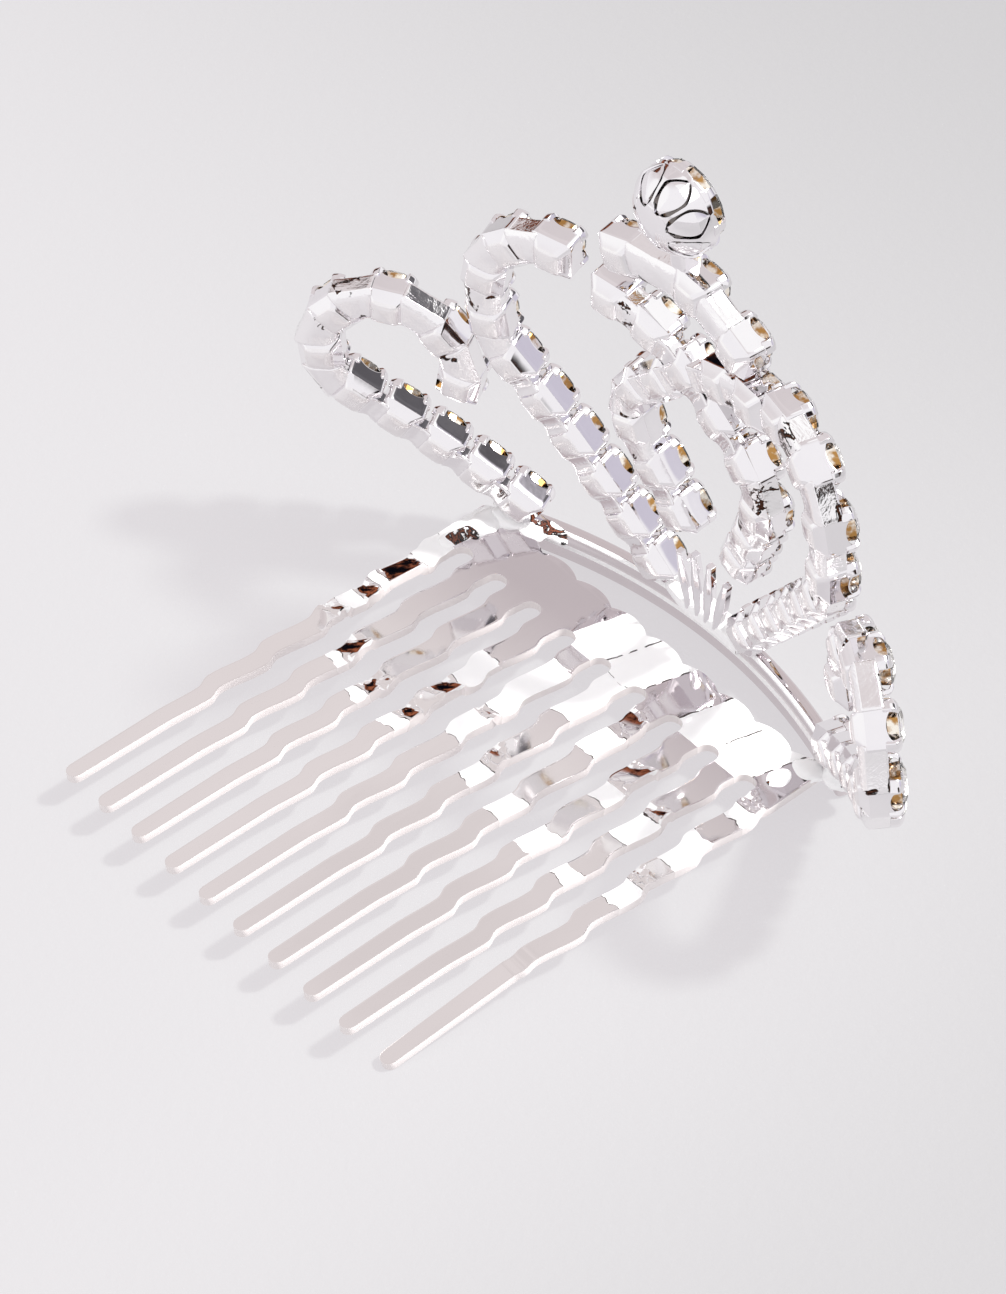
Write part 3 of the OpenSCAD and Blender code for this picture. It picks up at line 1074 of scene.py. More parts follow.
@dataclass
class Brilliant:
    """Brilliant-cut crystal, round or cushion-shaped: table, star, kite and girdle facets, foiled pavilion."""

    radius: float
    table: float
    crown: float
    pavilion: float
    girdle: float
    base: float
    steep: float = 0.0
    squareness: float = 2.0

    def cushion(self, co: Vector) -> Sequence[float]:
        """Moves a vertex of the round cut out to the cushion's outline.

        Args:
            co: Place of the vertex.

        Returns:
            Its new place.
        """
        reach = math.hypot(co.x, co.z)
        if reach < 0.2 * self.radius:
            return co
        n = self.squareness
        factor = ((abs(co.x) / reach) ** n + (abs(co.z) / reach) ** n) ** (-1 / n)
        return co.x * factor, co.y, co.z * factor

    def build(self, name: str) -> bpy.types.Object:
        """Models the crystal about the origin, its table towards +Y.

        Args:
            name: Name of the model.

        Returns:
            The crystal, glass in its first material and foil in its second.
        """
        r, rt = self.radius, self.table
        rs = rt + 0.42 * (r - rt)
        rl = 0.3 * r
        cos_half = math.cos(math.radians(22.5))
        star_y = self.crown * (r - rs * cos_half) / (r - rt)
        low_y = -self.pavilion * (1 - rl * cos_half / r)
        rings = [(rt, self.crown, 8, 0.0), (rs, star_y, 8, 22.5), (r, 0.0, 16, 0.0),
                 (r, -self.girdle, 16, 0.0), (rl, low_y - self.girdle, 8, 22.5)]
        if self.steep:
            rings.append((0.93 * r, -self.girdle - self.steep, 16, 0.0))
        parts = []
        for k, (radius, y, count, turn) in enumerate(rings):
            Bench.deselect()
            bpy.ops.mesh.primitive_circle_add(vertices=count, radius=radius, fill_type="NOTHING",
                                              location=(0, self.base + y, 0),
                                              rotation=(math.pi / 2, 0, 0))
            ring = Bench.named(f"{name}_ring_{k}")
            ring.data.transform(Matrix.Rotation(math.radians(turn), 4, "Y"))
            parts.append(ring)
        stone = Bench.join(parts, name)
        Bench.reshape(stone, self.cushion)
        Bench.edit(stone)
        bpy.ops.mesh.select_all(action="DESELECT")
        bpy.ops.mesh.primitive_circle_add(vertices=8, radius=0.02 * r, fill_type="NOTHING",
                                          location=(0, self.base - self.girdle - self.pavilion, 0),
                                          rotation=(math.pi / 2, 0, 0))
        bpy.ops.mesh.select_all(action="SELECT")
        bpy.ops.mesh.convex_hull()
        bpy.ops.mesh.select_all(action="SELECT")
        bpy.ops.mesh.dissolve_limited(angle_limit=math.radians(0.6))
        bpy.ops.mesh.normals_make_consistent(inside=False)
        Bench.leave()
        Bench.dress(stone, [Finish.CRYSTAL, Finish.FOIL])
        for face in stone.data.polygons:
            face.material_index = 1 if face.center.y < self.base - self.girdle - 0.01 else 0
        return stone


@dataclass
class SolderLink:
    """Lump of solder that fills the gap between two cups. On a bend it widens to a wedge."""

    width: float = 2.2
    bend_width: float = 2.8
    depth: float = 1.25
    bend_depth: float = 1.9
    back: float = -1.68

    @staticmethod
    def is_bend(length: float, turn: float) -> bool:
        """Says whether a link sits on a bend or spans a wide gap.

        Args:
            length: Gap between the two cups.
            turn: How much the run bends there, in degrees.

        Returns:
            True for a link on a bend.
        """
        return abs(turn) > 12 or length > 1.2

    def build(self, length: float, turn: float) -> bpy.types.Object:
        """Models a link along X.

        Args:
            length: Gap between the two cups.
            turn: How much the run bends there, in degrees.

        Returns:
            The link, sunk a little between its cups.
        """
        bend = self.is_bend(length, turn)
        width, depth = (self.bend_width, self.bend_depth) if bend else (self.width, self.depth)
        slope = math.tan(math.radians(turn) / 2)
        link = Bench.box("solder_link", (length + 1.1, depth, width), (0, self.back + depth / 2, 0))
        Bench.edit(link)
        bpy.ops.mesh.select_all(action="SELECT")
        bpy.ops.mesh.subdivide(number_cuts=6)
        Bench.leave()
        half = (length + 1.1) / 2

        def place(co: Vector) -> Sequence[float]:
            """Widens the lump towards the outside of the bend and sinks its middle.

            Args:
                co: Place of a vertex.

            Returns:
                Its new place.
            """
            share = co.x / half
            neck = 1 - (0.05 if bend else 0.16) * (1 - share ** 2)
            x = share * (half - slope * co.z) if bend else co.x
            y = self.back + depth + (co.y - self.back - depth) * neck
            if bend:
                y = max(y, self.back + 0.9 * (abs(co.z) - width / 2 + 0.55))
            return x, y, co.z * neck - (0.35 * slope if bend else 0)

        Bench.reshape(link, place)
        Bench.modify(link, "SUBSURF", levels=1, render_levels=1)
        Bench.smooth(link, 80)
        return link


@dataclass
class CupWork:
    """Makes a run or a group of runs: cups, links and crystals, each joined per node."""

    layout: Layout
    cup: bpy.types.Object
    stone: bpy.types.Object
    link: SolderLink = field(default_factory=SolderLink)

    def metal(self, name: str, runs: Sequence[Run], more: Sequence[tuple[list[float], float, float]],
              loose: Sequence[Spot], mirror: bool) -> bpy.types.Object:
        """Places the cups and links.

        Args:
            name: Name of the piece.
            runs: Runs with links.
            more: Further links as spot, length and turn.
            loose: Spots of cups outside the runs.
            mirror: True for the left-hand side.

        Returns:
            The joined metal in millimetres, with cups, links, links on a bend and frosted backs in that order.
        """
        side = Matrix.Diagonal((-1, 1, 1, 1)) if mirror else Matrix.Identity(4)
        cups = [Bench.copy(self.cup, side @ self.layout.on_face(spot))
                for spot in [s for run in runs for s in run.cups(self.layout)] + list(loose)]
        links = []
        for spot, length, turn in [g for run in runs for g in run.gaps(self.layout, 3.1)] + list(more):
            link = self.link.build(length, turn)
            # Links on a bend take solder with painted dark reflection streaks; the others take plain solder
            Bench.dress(link, METAL, 2 if self.link.is_bend(length, turn) else 1)
            links.append(Bench.copy(link, side @ self.layout.on_face(spot)))
            Bench.drop(link)
        return Bench.join(cups + links, name)

    def stones(self, name: str, spots: Sequence[Spot], mirror: bool) -> bpy.types.Object:
        """Places the crystals.

        Args:
            name: Name of the piece.
            spots: Where the cups stand.
            mirror: True for the left-hand side.

        Returns:
            The joined crystals in millimetres.
        """
        side = Matrix.Diagonal((-1, 1, 1, 1)) if mirror else Matrix.Identity(4)
        return Bench.join([Bench.copy(self.stone, side @ self.layout.on_face(s)) for s in spots], name)


@dataclass
class Comb:
    """Stamped comb: ten waved teeth, a plate with a scalloped edge, and a last tooth that was bent down.

    A facet is a tooth's number from the left, where it starts and ends along Y, and its slope across the tooth.
    """

    layout: Layout
    teeth: int = 10
    pitch: float = 3.6
    sheet: float = 0.66
    base_w: float = 1.95
    tip_w: float = 1.2
    tip_flat: float = 11.3
    wave_len: float = 4.85
    wave_sway: float = 0.21
    climb: float = 0.25
    shift_x: float = -1.3
    bent_len: float = 13.0
    steps: int = 12
    facets: Sequence[Sequence[float]] = (
        (0, 8.7, 10.6, -0.15), (0, 5.8, 8.5, 0.36), (0, 3.5, 4.7, 0.36), (0, 1.1, 1.7, 0.33), (1, -1.0, 0.9, 0.36),
        (2, -2.1, -1.1, 0.36), (2, -0.9, -0.3, 0.2), (3, 1.4, 2.9, 0.36), (3, 3.2, 6.2, -0.12), (3, -1.7, -0.7, 0.36),
        (4, 2.5, 3.0, 0.3), (4, 3.4, 9.2, -0.12), (5, 0.0, 1.2, 0.24), (6, 8.3, 10.2, 0.26), (7, 5.1, 7.2, 0.26),
        (8, 4.7, 5.6, 0.34), (9, 0.2, 1.0, 0.24), (9, 9.9, 10.7, 0.3))

    @property
    def middle_z(self) -> float:
        """Height of the middle of the sheet."""
        return self.layout.band_h - self.sheet / 2

    @property
    def root_y(self) -> float:
        """Where the round ends of the slots begin."""
        return self.layout.tip_y + self.layout.slot_len - (self.pitch - self.base_w) / 2

    def half_width(self, y: float) -> float:
        """Gives half of the tooth's or the cell's width.

        Args:
            y: Place along Y.

        Returns:
            Half of the width.
        """
        slot_r = (self.pitch - self.base_w) / 2
        knee = self.layout.tip_y + self.tip_flat
        knee_w = self.tip_w + 0.2
        tip = self.layout.tip_y + self.tip_w / 2
        if y >= self.root_y:
            over = min(1.0, (y - self.root_y) / slot_r)
            return self.pitch / 2 - slot_r * math.sqrt(max(0.0, 1 - over ** 2))
        if y >= knee:
            return (knee_w + (self.base_w - knee_w) * (y - knee) / (self.root_y - knee)) / 2
        straight = (self.tip_w + (knee_w - self.tip_w) * (y - tip) / (knee - tip)) / 2
        if y >= tip:
            return straight
        return max(0.12, math.sqrt(max(0.0, (self.tip_w / 2) ** 2 - (tip - y) ** 2)))

    def wave(self, y: float) -> float:
        """Gives how far a tooth sways sideways: fast to the left, slowly back.

        Args:
            y: Place along Y.

        Returns:
            Distance along X.
        """
        knee = self.layout.tip_y + self.tip_flat
        s, end = (y - knee) / self.wave_len, (self.root_y - knee) / self.wave_len
        if s <= self.climb - 1 or s >= end:
            return 0.0
        if s < 0:
            return self.wave_sway * (1 - math.cos(math.pi * (s + 1 - self.climb) / (1 - self.climb))) / 2
        part = s - math.floor(s)
        turn = -90 + 180 * part / self.climb if part < self.climb else (
            90 + 180 * (part - self.climb) / (1 - self.climb))
        return -self.wave_sway * math.sin(math.radians(turn)) * min(1.0, 2.5 * (end - s))

    def press(self, cell: bpy.types.Object, index: int) -> None:
        """Sways a tooth and twists short stretches of it, as the stamp and the bench vice left them.

        Each stretch stays flat across, so that it mirrors one part of the room with a crisp outline.

        Args:
            cell: Cell about the origin.
            index: Tooth number from the left.
        """
        def twist(co: Vector) -> Sequence[float]:
            """Sways the tooth, and tilts what lies within a stretch about its middle line.

            Args:
                co: Place of a vertex.

            Returns:
                Its new place.
            """
            rise = 0.0
            for tooth, low, high, slope in self.facets:
                if tooth == index:
                    ends = co.y + 0.35 * co.x * math.cos(3.1 * low)
                    inside = min(ends - low, high - ends) / 0.22 + 0.5
                    sweep = 1 + (0.5 * (co.y - low) / (high - low) - 0.25 if slope > 0 else 0.0)
                    rise += slope * sweep * (co.x + self.wave(co.y)) * min(1.0, max(0.0, inside))
            return co.x + self.wave(co.y), co.y, co.z + rise

        Bench.reshape(cell, twist)

    def levels(self) -> list[float]:
        """Gives the places along Y that the sheet is divided at.

        Returns:
            Places from the plate down to the tip.
        """
        slot_r = (self.pitch - self.base_w) / 2
        top = self.layout.plate_top - 0.5
        out = [top - 0.25 * k for k in range(12) if top - 0.25 * k > self.root_y + slot_r + 0.1]
        out += [self.root_y + slot_r * math.sin(math.radians(a)) for a in (90, 66, 48, 32, 16, 0)]
        start, end = self.layout.tip_y + self.tip_flat - 3.6, self.root_y
        count = int(round((end - start) / 0.22))
        out += [end - (end - start) * k / count for k in range(1, count + 1)]
        tip_r = self.tip_w / 2
        straight = self.layout.tip_y + tip_r
        out += [start - (start - straight) * k / 6 for k in range(1, 7)]
        out += [straight - tip_r * math.sin(math.radians(a)) for a in (25, 45, 65, 84)]
        return [y for i, y in enumerate(out) if i == 0 or out[i - 1] - y > 1e-4]

    def cell(self, index: int) -> bpy.types.Object:
        """Models one tooth with its share of the plate by extruding an edge from level to level.

        Args:
            index: Tooth number from the left.

        Returns:
            The open sheet of the cell.
        """
        levels = self.levels()
        ends = {0: -1, self.teeth - 1: 1}.get(index, 0)
        Bench.deselect()
        bpy.ops.mesh.primitive_grid_add(x_subdivisions=12, y_subdivisions=1, size=1)
        cell = Bench.named(f"comb_cell_{index}")
        Bench.edit(cell)
        bpy.ops.mesh.select_all(action="SELECT")
        Bench.scale(self.pitch, levels[0] - levels[1], 1)
        Bench.shift(0, (levels[0] + levels[1]) / 2, self.middle_z)
        Bench.pick(cell, "EDGE", lambda c, n: abs(c.y - levels[1]) < 1e-3)
        for upper, lower in zip(levels[1:], levels[2:]):
            bpy.ops.mesh.extrude_region_move(
                TRANSFORM_OT_translate={"value": (0, lower - upper, 0)})
            Bench.scale(self.half_width(lower) / self.half_width(upper), 1, 1)
        Bench.pick(cell, "VERT", lambda c, n: abs(c.y - levels[0]) < 1e-3)
        bump_r = (self.pitch ** 2 / 4 + 0.25) / 1.0
        for column in range(7):
            x = self.pitch / 12 * column
            rise = math.sqrt(bump_r ** 2 - x ** 2) - (bump_r - 0.5)
            Bench.pick(cell, "VERT", lambda c, n, x=x: abs(c.y - levels[0]) < 1e-3 and abs(abs(c.x) - x) < 1e-3)
            Bench.shift(0, rise, 0)
        if ends:
            for y in [v for v in levels if v > self.root_y + 1e-3] + [None]:
                if y is None:
                    Bench.pick(cell, "VERT", lambda c, n: c.x * ends > 1e-3 and c.y > levels[0] + 1e-3)
                    width = self.pitch / 2
                else:
                    Bench.pick(cell, "VERT", lambda c, n, y=y: c.x * ends > 1e-3 and abs(c.y - y) < 1e-3)
                    width = self.half_width(y)
                Bench.scale(self.base_w / 2 / width, 1, 1)
        Bench.leave()
        self.press(cell, index)
        half = (self.teeth - 1) * self.pitch / 2
        cell.data.transform(Matrix.Translation((index * self.pitch - half + self.shift_x, 0, 0)))
        return cell

    def bend_last(self, cell: bpy.types.Object) -> None:
        """Bends the last tooth down to the floor and a little inwards.

        Args:
            cell: Cell of the last tooth.
        """
        root = self.layout.tip_y + self.bent_len
        x = (self.teeth - 1) * self.pitch / 2 + self.shift_x + self.wave(root)
        reached = self.bent_len - 1.5 + self.tip_w / 2
        drop = math.asin((self.middle_z - self.sheet / 2 + 0.004) / reached)
        for vertex in cell.data.vertices:
            if vertex.co.y < root:
                part = min(1.0, (root - vertex.co.y) / 2.0)
                reach = (vertex.co.y - root) * reached / self.bent_len
                a, b = drop * part, math.radians(-4) * part
                dx = vertex.co.x - x + (self.wave(root) - self.wave(vertex.co.y)) * part
                lateral = dx * math.cos(b) - reach * math.sin(b)
                forward = dx * math.sin(b) + reach * math.cos(b)
                vertex.co = (x + lateral, root + forward * math.cos(a), vertex.co.z * (1 - part)
                             + self.middle_z * part + forward * math.sin(a))

    def build(self) -> bpy.types.Object:
        """Models the whole comb.

        Returns:
            The comb in millimetres.
        """
        cells = [self.cell(i) for i in range(self.teeth)]
        self.bend_last(cells[-1])
        comb = Bench.join(cells, "comb_sheet")
        Bench.edit(comb)
        bpy.ops.mesh.select_all(action="SELECT")
        bpy.ops.mesh.remove_doubles(threshold=0.01)
        bpy.ops.mesh.normals_make_consistent(inside=False)
        Bench.leave()
        Bench.modify(comb, "SOLIDIFY", thickness=self.sheet, offset=0, use_even_offset=True)
        Bench.modify(comb, "BEVEL", width=0.2, segments=3, limit_method="ANGLE", angle_limit=math.radians(65))
        Bench.smooth(comb, 24)
        return comb


@dataclass
class Band:
    """Curved strip that stands along the comb, with a middle bar, a fan of slats and its end solder.

    A slat is along and up at its top, and along at its bottom. A lump of solder is its middle and its half sizes.
    """

    layout: Layout
    half_angle: float = 23.0
    height: float = 2.75
    thickness: float = 1.15
    slats: Sequence[Sequence[float]] = ((-1.7, 5.8, -1.2), (-0.1, 6.6, -0.2), (1.5, 6.6, 0.7), (3.2, 6.0, 1.6))
    solder: Sequence[Sequence[float]] = (
        (-17.4, 12.2, 2.7, 0.8, 1.6, 0.22), (-17.0, 14.4, 2.8, 1.1, 1.7, 0.3), (-16.3, 16.2, 2.8, 1.5, 1.3, 0.5),
        (-14.6, 16.5, 2.7, 1.7, 0.8, 0.35), (-17.2, 17.0, 2.7, 1.4, 1.1, 0.9), (-13.2, 17.4, 2.7, 1.5, 0.7, 0.35),
        (-18.5, 17.2, 2.9, 1.0, 0.8, 0.7), (16.6, 16.4, 2.5, 1.1, 1.1, 0.9), (15.0, 15.2, 2.6, 1.2, 1.0, 0.45),
        (14.3, 13.2, 2.6, 0.8, 1.0, 0.35), (17.6, 16.6, 2.7, 0.9, 0.8, 0.9))

    def strip(self, name: str, inner: float, outer: float, low: float, high: float,
              half_angle: float, edge: float) -> bpy.types.Object:
        """Sweeps a rounded section round the axis.

        Args:
            name: Name of the piece.
            inner: Inner radius.
            outer: Outer radius.
            low: Bottom height.
            high: Top height.
            half_angle: Half of the swept angle in degrees.
            edge: Width of the rounded edges.

        Returns:
            The strip.
        """
        Bench.deselect()
        bpy.ops.mesh.primitive_plane_add(size=1, rotation=(0, math.pi / 2, 0))
        strip = Bench.named(name)
        Bench.edit(strip)
        bpy.ops.mesh.select_all(action="SELECT")
        Bench.scale(1, outer - inner, high - low)
        Bench.shift(0, (inner + outer) / 2, (high + low) / 2)
        bpy.ops.transform.rotate(value=math.radians(half_angle), orient_axis="Z", center_override=(0, 0, 0))
        before = [v.co.x for v in bmesh.from_edit_mesh(strip.data).verts]
        sign = 1 if sum(before) < 0 else -1
        bpy.ops.mesh.spin(steps=56, angle=math.radians(2 * half_angle) * sign, center=(0, 0, 0), axis=(0, 0, 1))
        bpy.ops.mesh.select_all(action="SELECT")
        bpy.ops.mesh.remove_doubles(threshold=0.001)
        bpy.ops.mesh.normals_make_consistent(inside=False)
        Bench.leave()
        strip.data.transform(Matrix.Translation((0, self.layout.axis_y, 0)))
        Bench.modify(strip, "BEVEL", width=edge, segments=4, limit_method="ANGLE", angle_limit=math.radians(60))
        return strip

    def groove(self, strip: bpy.types.Object) -> None:
        """Presses the crease into the inner wall of the strip, about halfway up.

        Args:
            strip: The swept strip.
        """
        inner = self.layout.band_r - self.thickness / 2 - 0.2

        def press(co: Vector) -> Sequence[float]:
            """Moves the inner wall outwards above the crease, most of all right over it.

            Args:
                co: Place of a vertex.

            Returns:
                Its new place.
            """
            reach = math.hypot(co.x, co.y - self.layout.axis_y)
            if reach > inner + 0.1 or not 1.3 < co.z < 2.0:
                return co
            factor = (reach + 0.18) / reach
            return co.x * factor, self.layout.axis_y + (co.y - self.layout.axis_y) * factor, co.z

        Bench.edit(strip)
        bpy.ops.mesh.select_all(action="SELECT")
        for level in (1.25, 1.45):
            bpy.ops.mesh.bisect(plane_co=(0, 0, level), plane_no=(0, 0, 1))
            bpy.ops.mesh.select_all(action="SELECT")
        Bench.leave()
        Bench.reshape(strip, press)
        Bench.dress(strip, BAND_METAL, 3)
        # Painted highlight: the top inner bevel and the ledge of the crease take the painted white
        for face in strip.data.polygons:
            inside = math.hypot(face.center.x, face.center.y - self.layout.axis_y) < self.layout.band_r - 0.2
            if inside and (0.5 < face.normal.z < 0.9 or 1.26 < face.center.z < 1.44):
                face.material_index = 2

    def bar(self) -> bpy.types.Object:
        """Models the bar on the band's middle: drawn to a point at its left end, cut off at its right end.

        Returns:
            The bar.
        """
        r = self.layout.band_r
        bar = self.strip("band_bar", r - 1.5, r + 0.1, self.height - 0.3, self.height + 0.8, 5.5, 0.3)

        def taper(co: Vector) -> Sequence[float]:
            """Narrows and lowers the bar towards its left end.

            Args:
                co: Place of a vertex.

            Returns:
                Its new place.
            """
            share = min(1.0, max(0.0, (4.2 + co.x) / 3.4))
            size = 0.25 + 0.75 * math.sin(math.pi / 2 * share)
            reach = math.hypot(co.x, co.y - self.layout.axis_y)
            new = r - 0.3 + (reach - r + 0.3) * size
            z = self.height - 0.3 + (co.z - self.height + 0.3) * (0.5 + 0.5 * share)
            return co.x * new / reach, self.layout.axis_y + (co.y - self.layout.axis_y) * new / reach, z

        Bench.reshape(bar, taper)
        return bar

    def slat(self, row: Sequence[float]) -> bpy.types.Object:
        """Models one slat of the fan: a long leaf, ridged along its middle.

        Args:
            row: Along and up at its top, and along at its bottom.

        Returns:
            The slat.
        """
        bar_top = 0.5
        run, rise = row[0] - row[2], row[1] - bar_top
        length = math.hypot(run, rise)
        slat = Bench.box("slat", (length, 0.5, 0.8), (0, -1.25, 0))
        Bench.edit(slat)
        bpy.ops.mesh.select_all(action="SELECT")
        bpy.ops.mesh.subdivide(number_cuts=9)
        Bench.leave()

        def leaf(co: Vector) -> Sequence[float]:
            """Narrows the ends and raises a ridge towards the comb.

            Args:
                co: Place of a vertex.

            Returns:
                Its new place.
            """
            share = min(1.0, max(0.0, co.x / length + 0.5))
            wide = 0.62 + 0.42 * math.sin(min(3.14, math.pi * share * 1.15)) ** 0.8
            ridge = 0.2 * (1 - abs(co.z) / 0.4) if co.y < -1.25 else 0.0
            return co.x, co.y - ridge * (1 - share * 0.6) + 0.12, co.z * wide

        Bench.reshape(slat, leaf)
        Bench.modify(slat, "BEVEL", width=0.08, segments=2, limit_method="ANGLE", angle_limit=math.radians(40))
        slat.data.transform(self.layout.on_face([(row[0] + row[2]) / 2, (row[1] + bar_top) / 2,
                                                 math.degrees(math.atan2(rise, run))]))
        return slat

    def lump(self, name: str, radius: float, centre: Sequence[float], stretch: Sequence[float],
             seed: int) -> bpy.types.Object:
        """Models a lump of solder, run and frozen in soft folds.

        Args:
            name: Name of the lump.
            radius: Radius before stretching.
            centre: Its middle.
            stretch: Scale along each axis.
            seed: Number that picks its folds.

        Returns:
            The lump.
        """
        lump = Bench.ball(name, radius, (0, 0, 0), stretch, 4)

        def fold(co: Vector) -> Sequence[float]:
            """Pushes the surface in and out in soft folds.

            Args:
                co: Place of a vertex.

            Returns:
                Its new place.
            """
            a = 1 + 0.07 * math.sin(4.1 * co.x + 2.3 * seed) * math.cos(3.3 * co.y + seed)
            b = a + 0.05 * math.sin(6.2 * co.z + 5.1 * co.y + 1.7 * seed)
            return co.x * b + centre[0], co.y * b + centre[1], co.z * b + centre[2]

        Bench.reshape(lump, fold)
        return lump

    def build(self) -> bpy.types.Object:
        """Models the band.

        Returns:
            The band in millimetres.
        """
        r, t = self.layout.band_r, self.thickness
        strip = self.strip("band_strip", r - t / 2 - 0.2, r + t / 2 - 0.2, 0, self.height, self.half_angle, 0.4)
        self.groove(strip)
        bar = self.bar()
        parts = [strip, bar]
        parts += [self.slat(row) for row in self.slats]
        lumps = [self.lump("solder", 1.0, row[:3], row[3:6], k) for k, row in enumerate(self.solder)]
        # Painted highlight: the bar is painted white; the slats stay plated
        for part in parts[1:]:
            Bench.dress(part, BAND_METAL, 2 if part is bar else 0)
        # The lumps take solder with a painted white highlight and painted dark reflections
        for lump in lumps:
            Bench.dress(lump, BAND_METAL, 1)
        band = Bench.join(parts + lumps, "band_and_bar")
        Bench.smooth(band, 40)
        return band


@dataclass
class BigSetting:
    """Large round cup: domed back, eight leaf-shaped windows, a scalloped rim and eight claws."""

    layout: Layout
    across: float = 6.4
    depth: float = 4.4
    back: float = 1.0
    spot: Spot = (0.4, 38.5, 0.0)
    pocket: float = 2.2
    claws: int = 8
    dome_r: float = 3.7
    columns: int = 16
    window_low: float = -1.9
    window_high: float = 0.52
    window_half: float = 1.1
    rim: float = 0.72

    def shell_radius(self, y: float) -> float:
        """Gives the outside radius of the shell.

        Args:
            y: Place along the axis.

        Returns:
            The radius.
        """
        centre = self.dome_r - self.depth / 2
        inside = self.dome_r ** 2 - (y - centre) ** 2
        full = self.across / 2 - 0.05
        return min(full, math.sqrt(max(0.0, inside))) if y < centre else full

    def window(self, y: float) -> float:
        """Gives half of a window's width: pointed behind, round in front.

        Args:
            y: Place along the axis.

        Returns:
            Half of the width, or zero outside the window.
        """
        share = (y - self.window_low) / (self.window_high - self.window_low)
        if not 0 < share < 1:
            return 0.0
        return self.window_half * math.sin(math.pi * share ** 0.8) ** 0.75

    def shell(self) -> bpy.types.Object:
        """Models the dome and the pierced wall.

        Returns:
            The shell about the origin.
        """
        low = -self.depth / 2
        levels = [low + v for v in (0.02, 0.08, 0.18, 0.3, 0.4)]
        count = 20
        levels += [self.window_low + (self.window_high - self.window_low) * k / count for k in range(count + 1)]
        levels += [self.window_high + 0.1, self.rim]
        slices = self.claws * self.columns
        Bench.deselect()
        bpy.ops.mesh.primitive_circle_add(vertices=slices, radius=self.shell_radius(levels[0]), fill_type="TRIFAN",
                                          location=(0, levels[0], 0), rotation=(math.pi / 2, 0, 0))
        shell = Bench.named("big_setting_shell")
        Bench.edit(shell)
        Bench.pick(shell, "EDGE", lambda c, n: math.hypot(c.x, c.z) > self.shell_radius(levels[0]) * 0.9)
        for a, b in zip(levels, levels[1:]):
            bpy.ops.mesh.extrude_region_move(TRANSFORM_OT_translate={"value": (0, b - a, 0)})
            factor = self.shell_radius(b) / self.shell_radius(a)
            Bench.scale(factor, 1, factor)
        sector = 2 * math.pi / self.claws

        def off_middle(c: Vector) -> float:
            """Gives the turn from the middle of the nearest window."""
            return (math.atan2(c.z, c.x) % sector) - sector / 2

        Bench.pick(shell, "FACE", lambda c, n: self.window_low < c.y < self.window_high
                   and abs(off_middle(c)) < sector / 4)
        bpy.ops.mesh.delete(type="FACE")
        Bench.leave()

        def warp(co: Vector) -> Sequence[float]:
            """Draws the columns to the windows' outlines and raises the rim between them.

            Args:
                co: Place of a vertex.

            Returns:
                Its new place.
            """
            radius = math.hypot(co.x, co.z)
            if radius < 0.1:
                return co
            off = off_middle(co)
            half = min(sector * 0.45, max(0.12, self.window(co.y)) / radius)
            if co.y < self.window_low - 0.03:
                return co
            share = abs(off) / (sector / 4)
            new = half * share if share <= 1 else half + (share - 1) * (sector / 2 - half)
            if self.window_low - 1e-6 < co.y < self.window_high + 1e-6 and self.window(co.y) == 0 and share <= 1:
                new = 0.0
            angle = math.atan2(co.z, co.x) - off + math.copysign(new, off)
            rise = 0.28 * (share / 2) ** 2 if co.y > self.window_high + 0.05 else 0.0
            flare = 1 + (0.02 if co.y > self.window_high + 0.05 else 0.0)
            return radius * flare * math.cos(angle), co.y + rise, radius * flare * math.sin(angle)

        Bench.reshape(shell, warp)
        Bench.edit(shell)
        bpy.ops.mesh.select_all(action="SELECT")
        bpy.ops.mesh.remove_doubles(threshold=0.004)
        bpy.ops.mesh.normals_make_consistent(inside=False)
        Bench.leave()
        Bench.modify(shell, "SOLIDIFY", thickness=0.34, offset=-1)
        Bench.modify(shell, "BEVEL", width=0.08, segments=2, limit_method="ANGLE", angle_limit=math.radians(50))
        return shell

    def petal(self, angle: float) -> bpy.types.Object:
        """Models one petal: the curved plate that stands inside a window, with a dark gap round it.

        Args:
            angle: Turn about the axis in degrees.

        Returns:
            The petal about the origin.
        """
        petal = Bench.box("petal", (0.16, 1.0, 1.0), (0, 0, 0))
        Bench.edit(petal)
        bpy.ops.mesh.select_all(action="SELECT")
        bpy.ops.mesh.subdivide(number_cuts=11)
        Bench.leave()
        low, high = self.window_low + 0.16, self.window_high + 0.02

        def leaf(co: Vector) -> Sequence[float]:
            """Draws the square to the window's leaf, set in behind the wall and ridged along its middle.

            Args:
                co: Place of a vertex.

            Returns:
                Its new place.
            """
            y = low + (co.y + 0.5) * (high - low)
            half = max(0.05, self.window(y) - 0.16)
            turn = co.z * 2 * half / (self.across / 2)
            radius = self.shell_radius(y) - 0.14 - 0.1 * abs(co.z) + co.x
            return radius * math.cos(turn), y, radius * math.sin(turn)

        Bench.reshape(petal, leaf)
        Bench.modify(petal, "BEVEL", width=0.04, segments=2, limit_method="ANGLE", angle_limit=math.radians(40))
        petal.data.transform(Matrix.Rotation(math.radians(angle), 4, "Y"))
        return petal

    def liner(self) -> bpy.types.Object:
        """Models the faceted seat that shows through the windows; its dark grey finish is painted shade.

        Returns:
            The seat about the origin.
        """
        Bench.deselect()
        bpy.ops.mesh.primitive_cone_add(vertices=16, radius1=1.9, radius2=2.74, depth=2.3, end_fill_type="NOTHING",
                                        location=(0, -0.4, 0), rotation=(-math.pi / 2, 0, 0))
        liner = Bench.named("stone_seat")
        Bench.modify(liner, "SOLIDIFY", thickness=0.12, offset=1)
        Bench.modify(liner, "BEVEL", width=0.05, segments=1, limit_method="ANGLE", angle_limit=math.radians(15))
        return liner

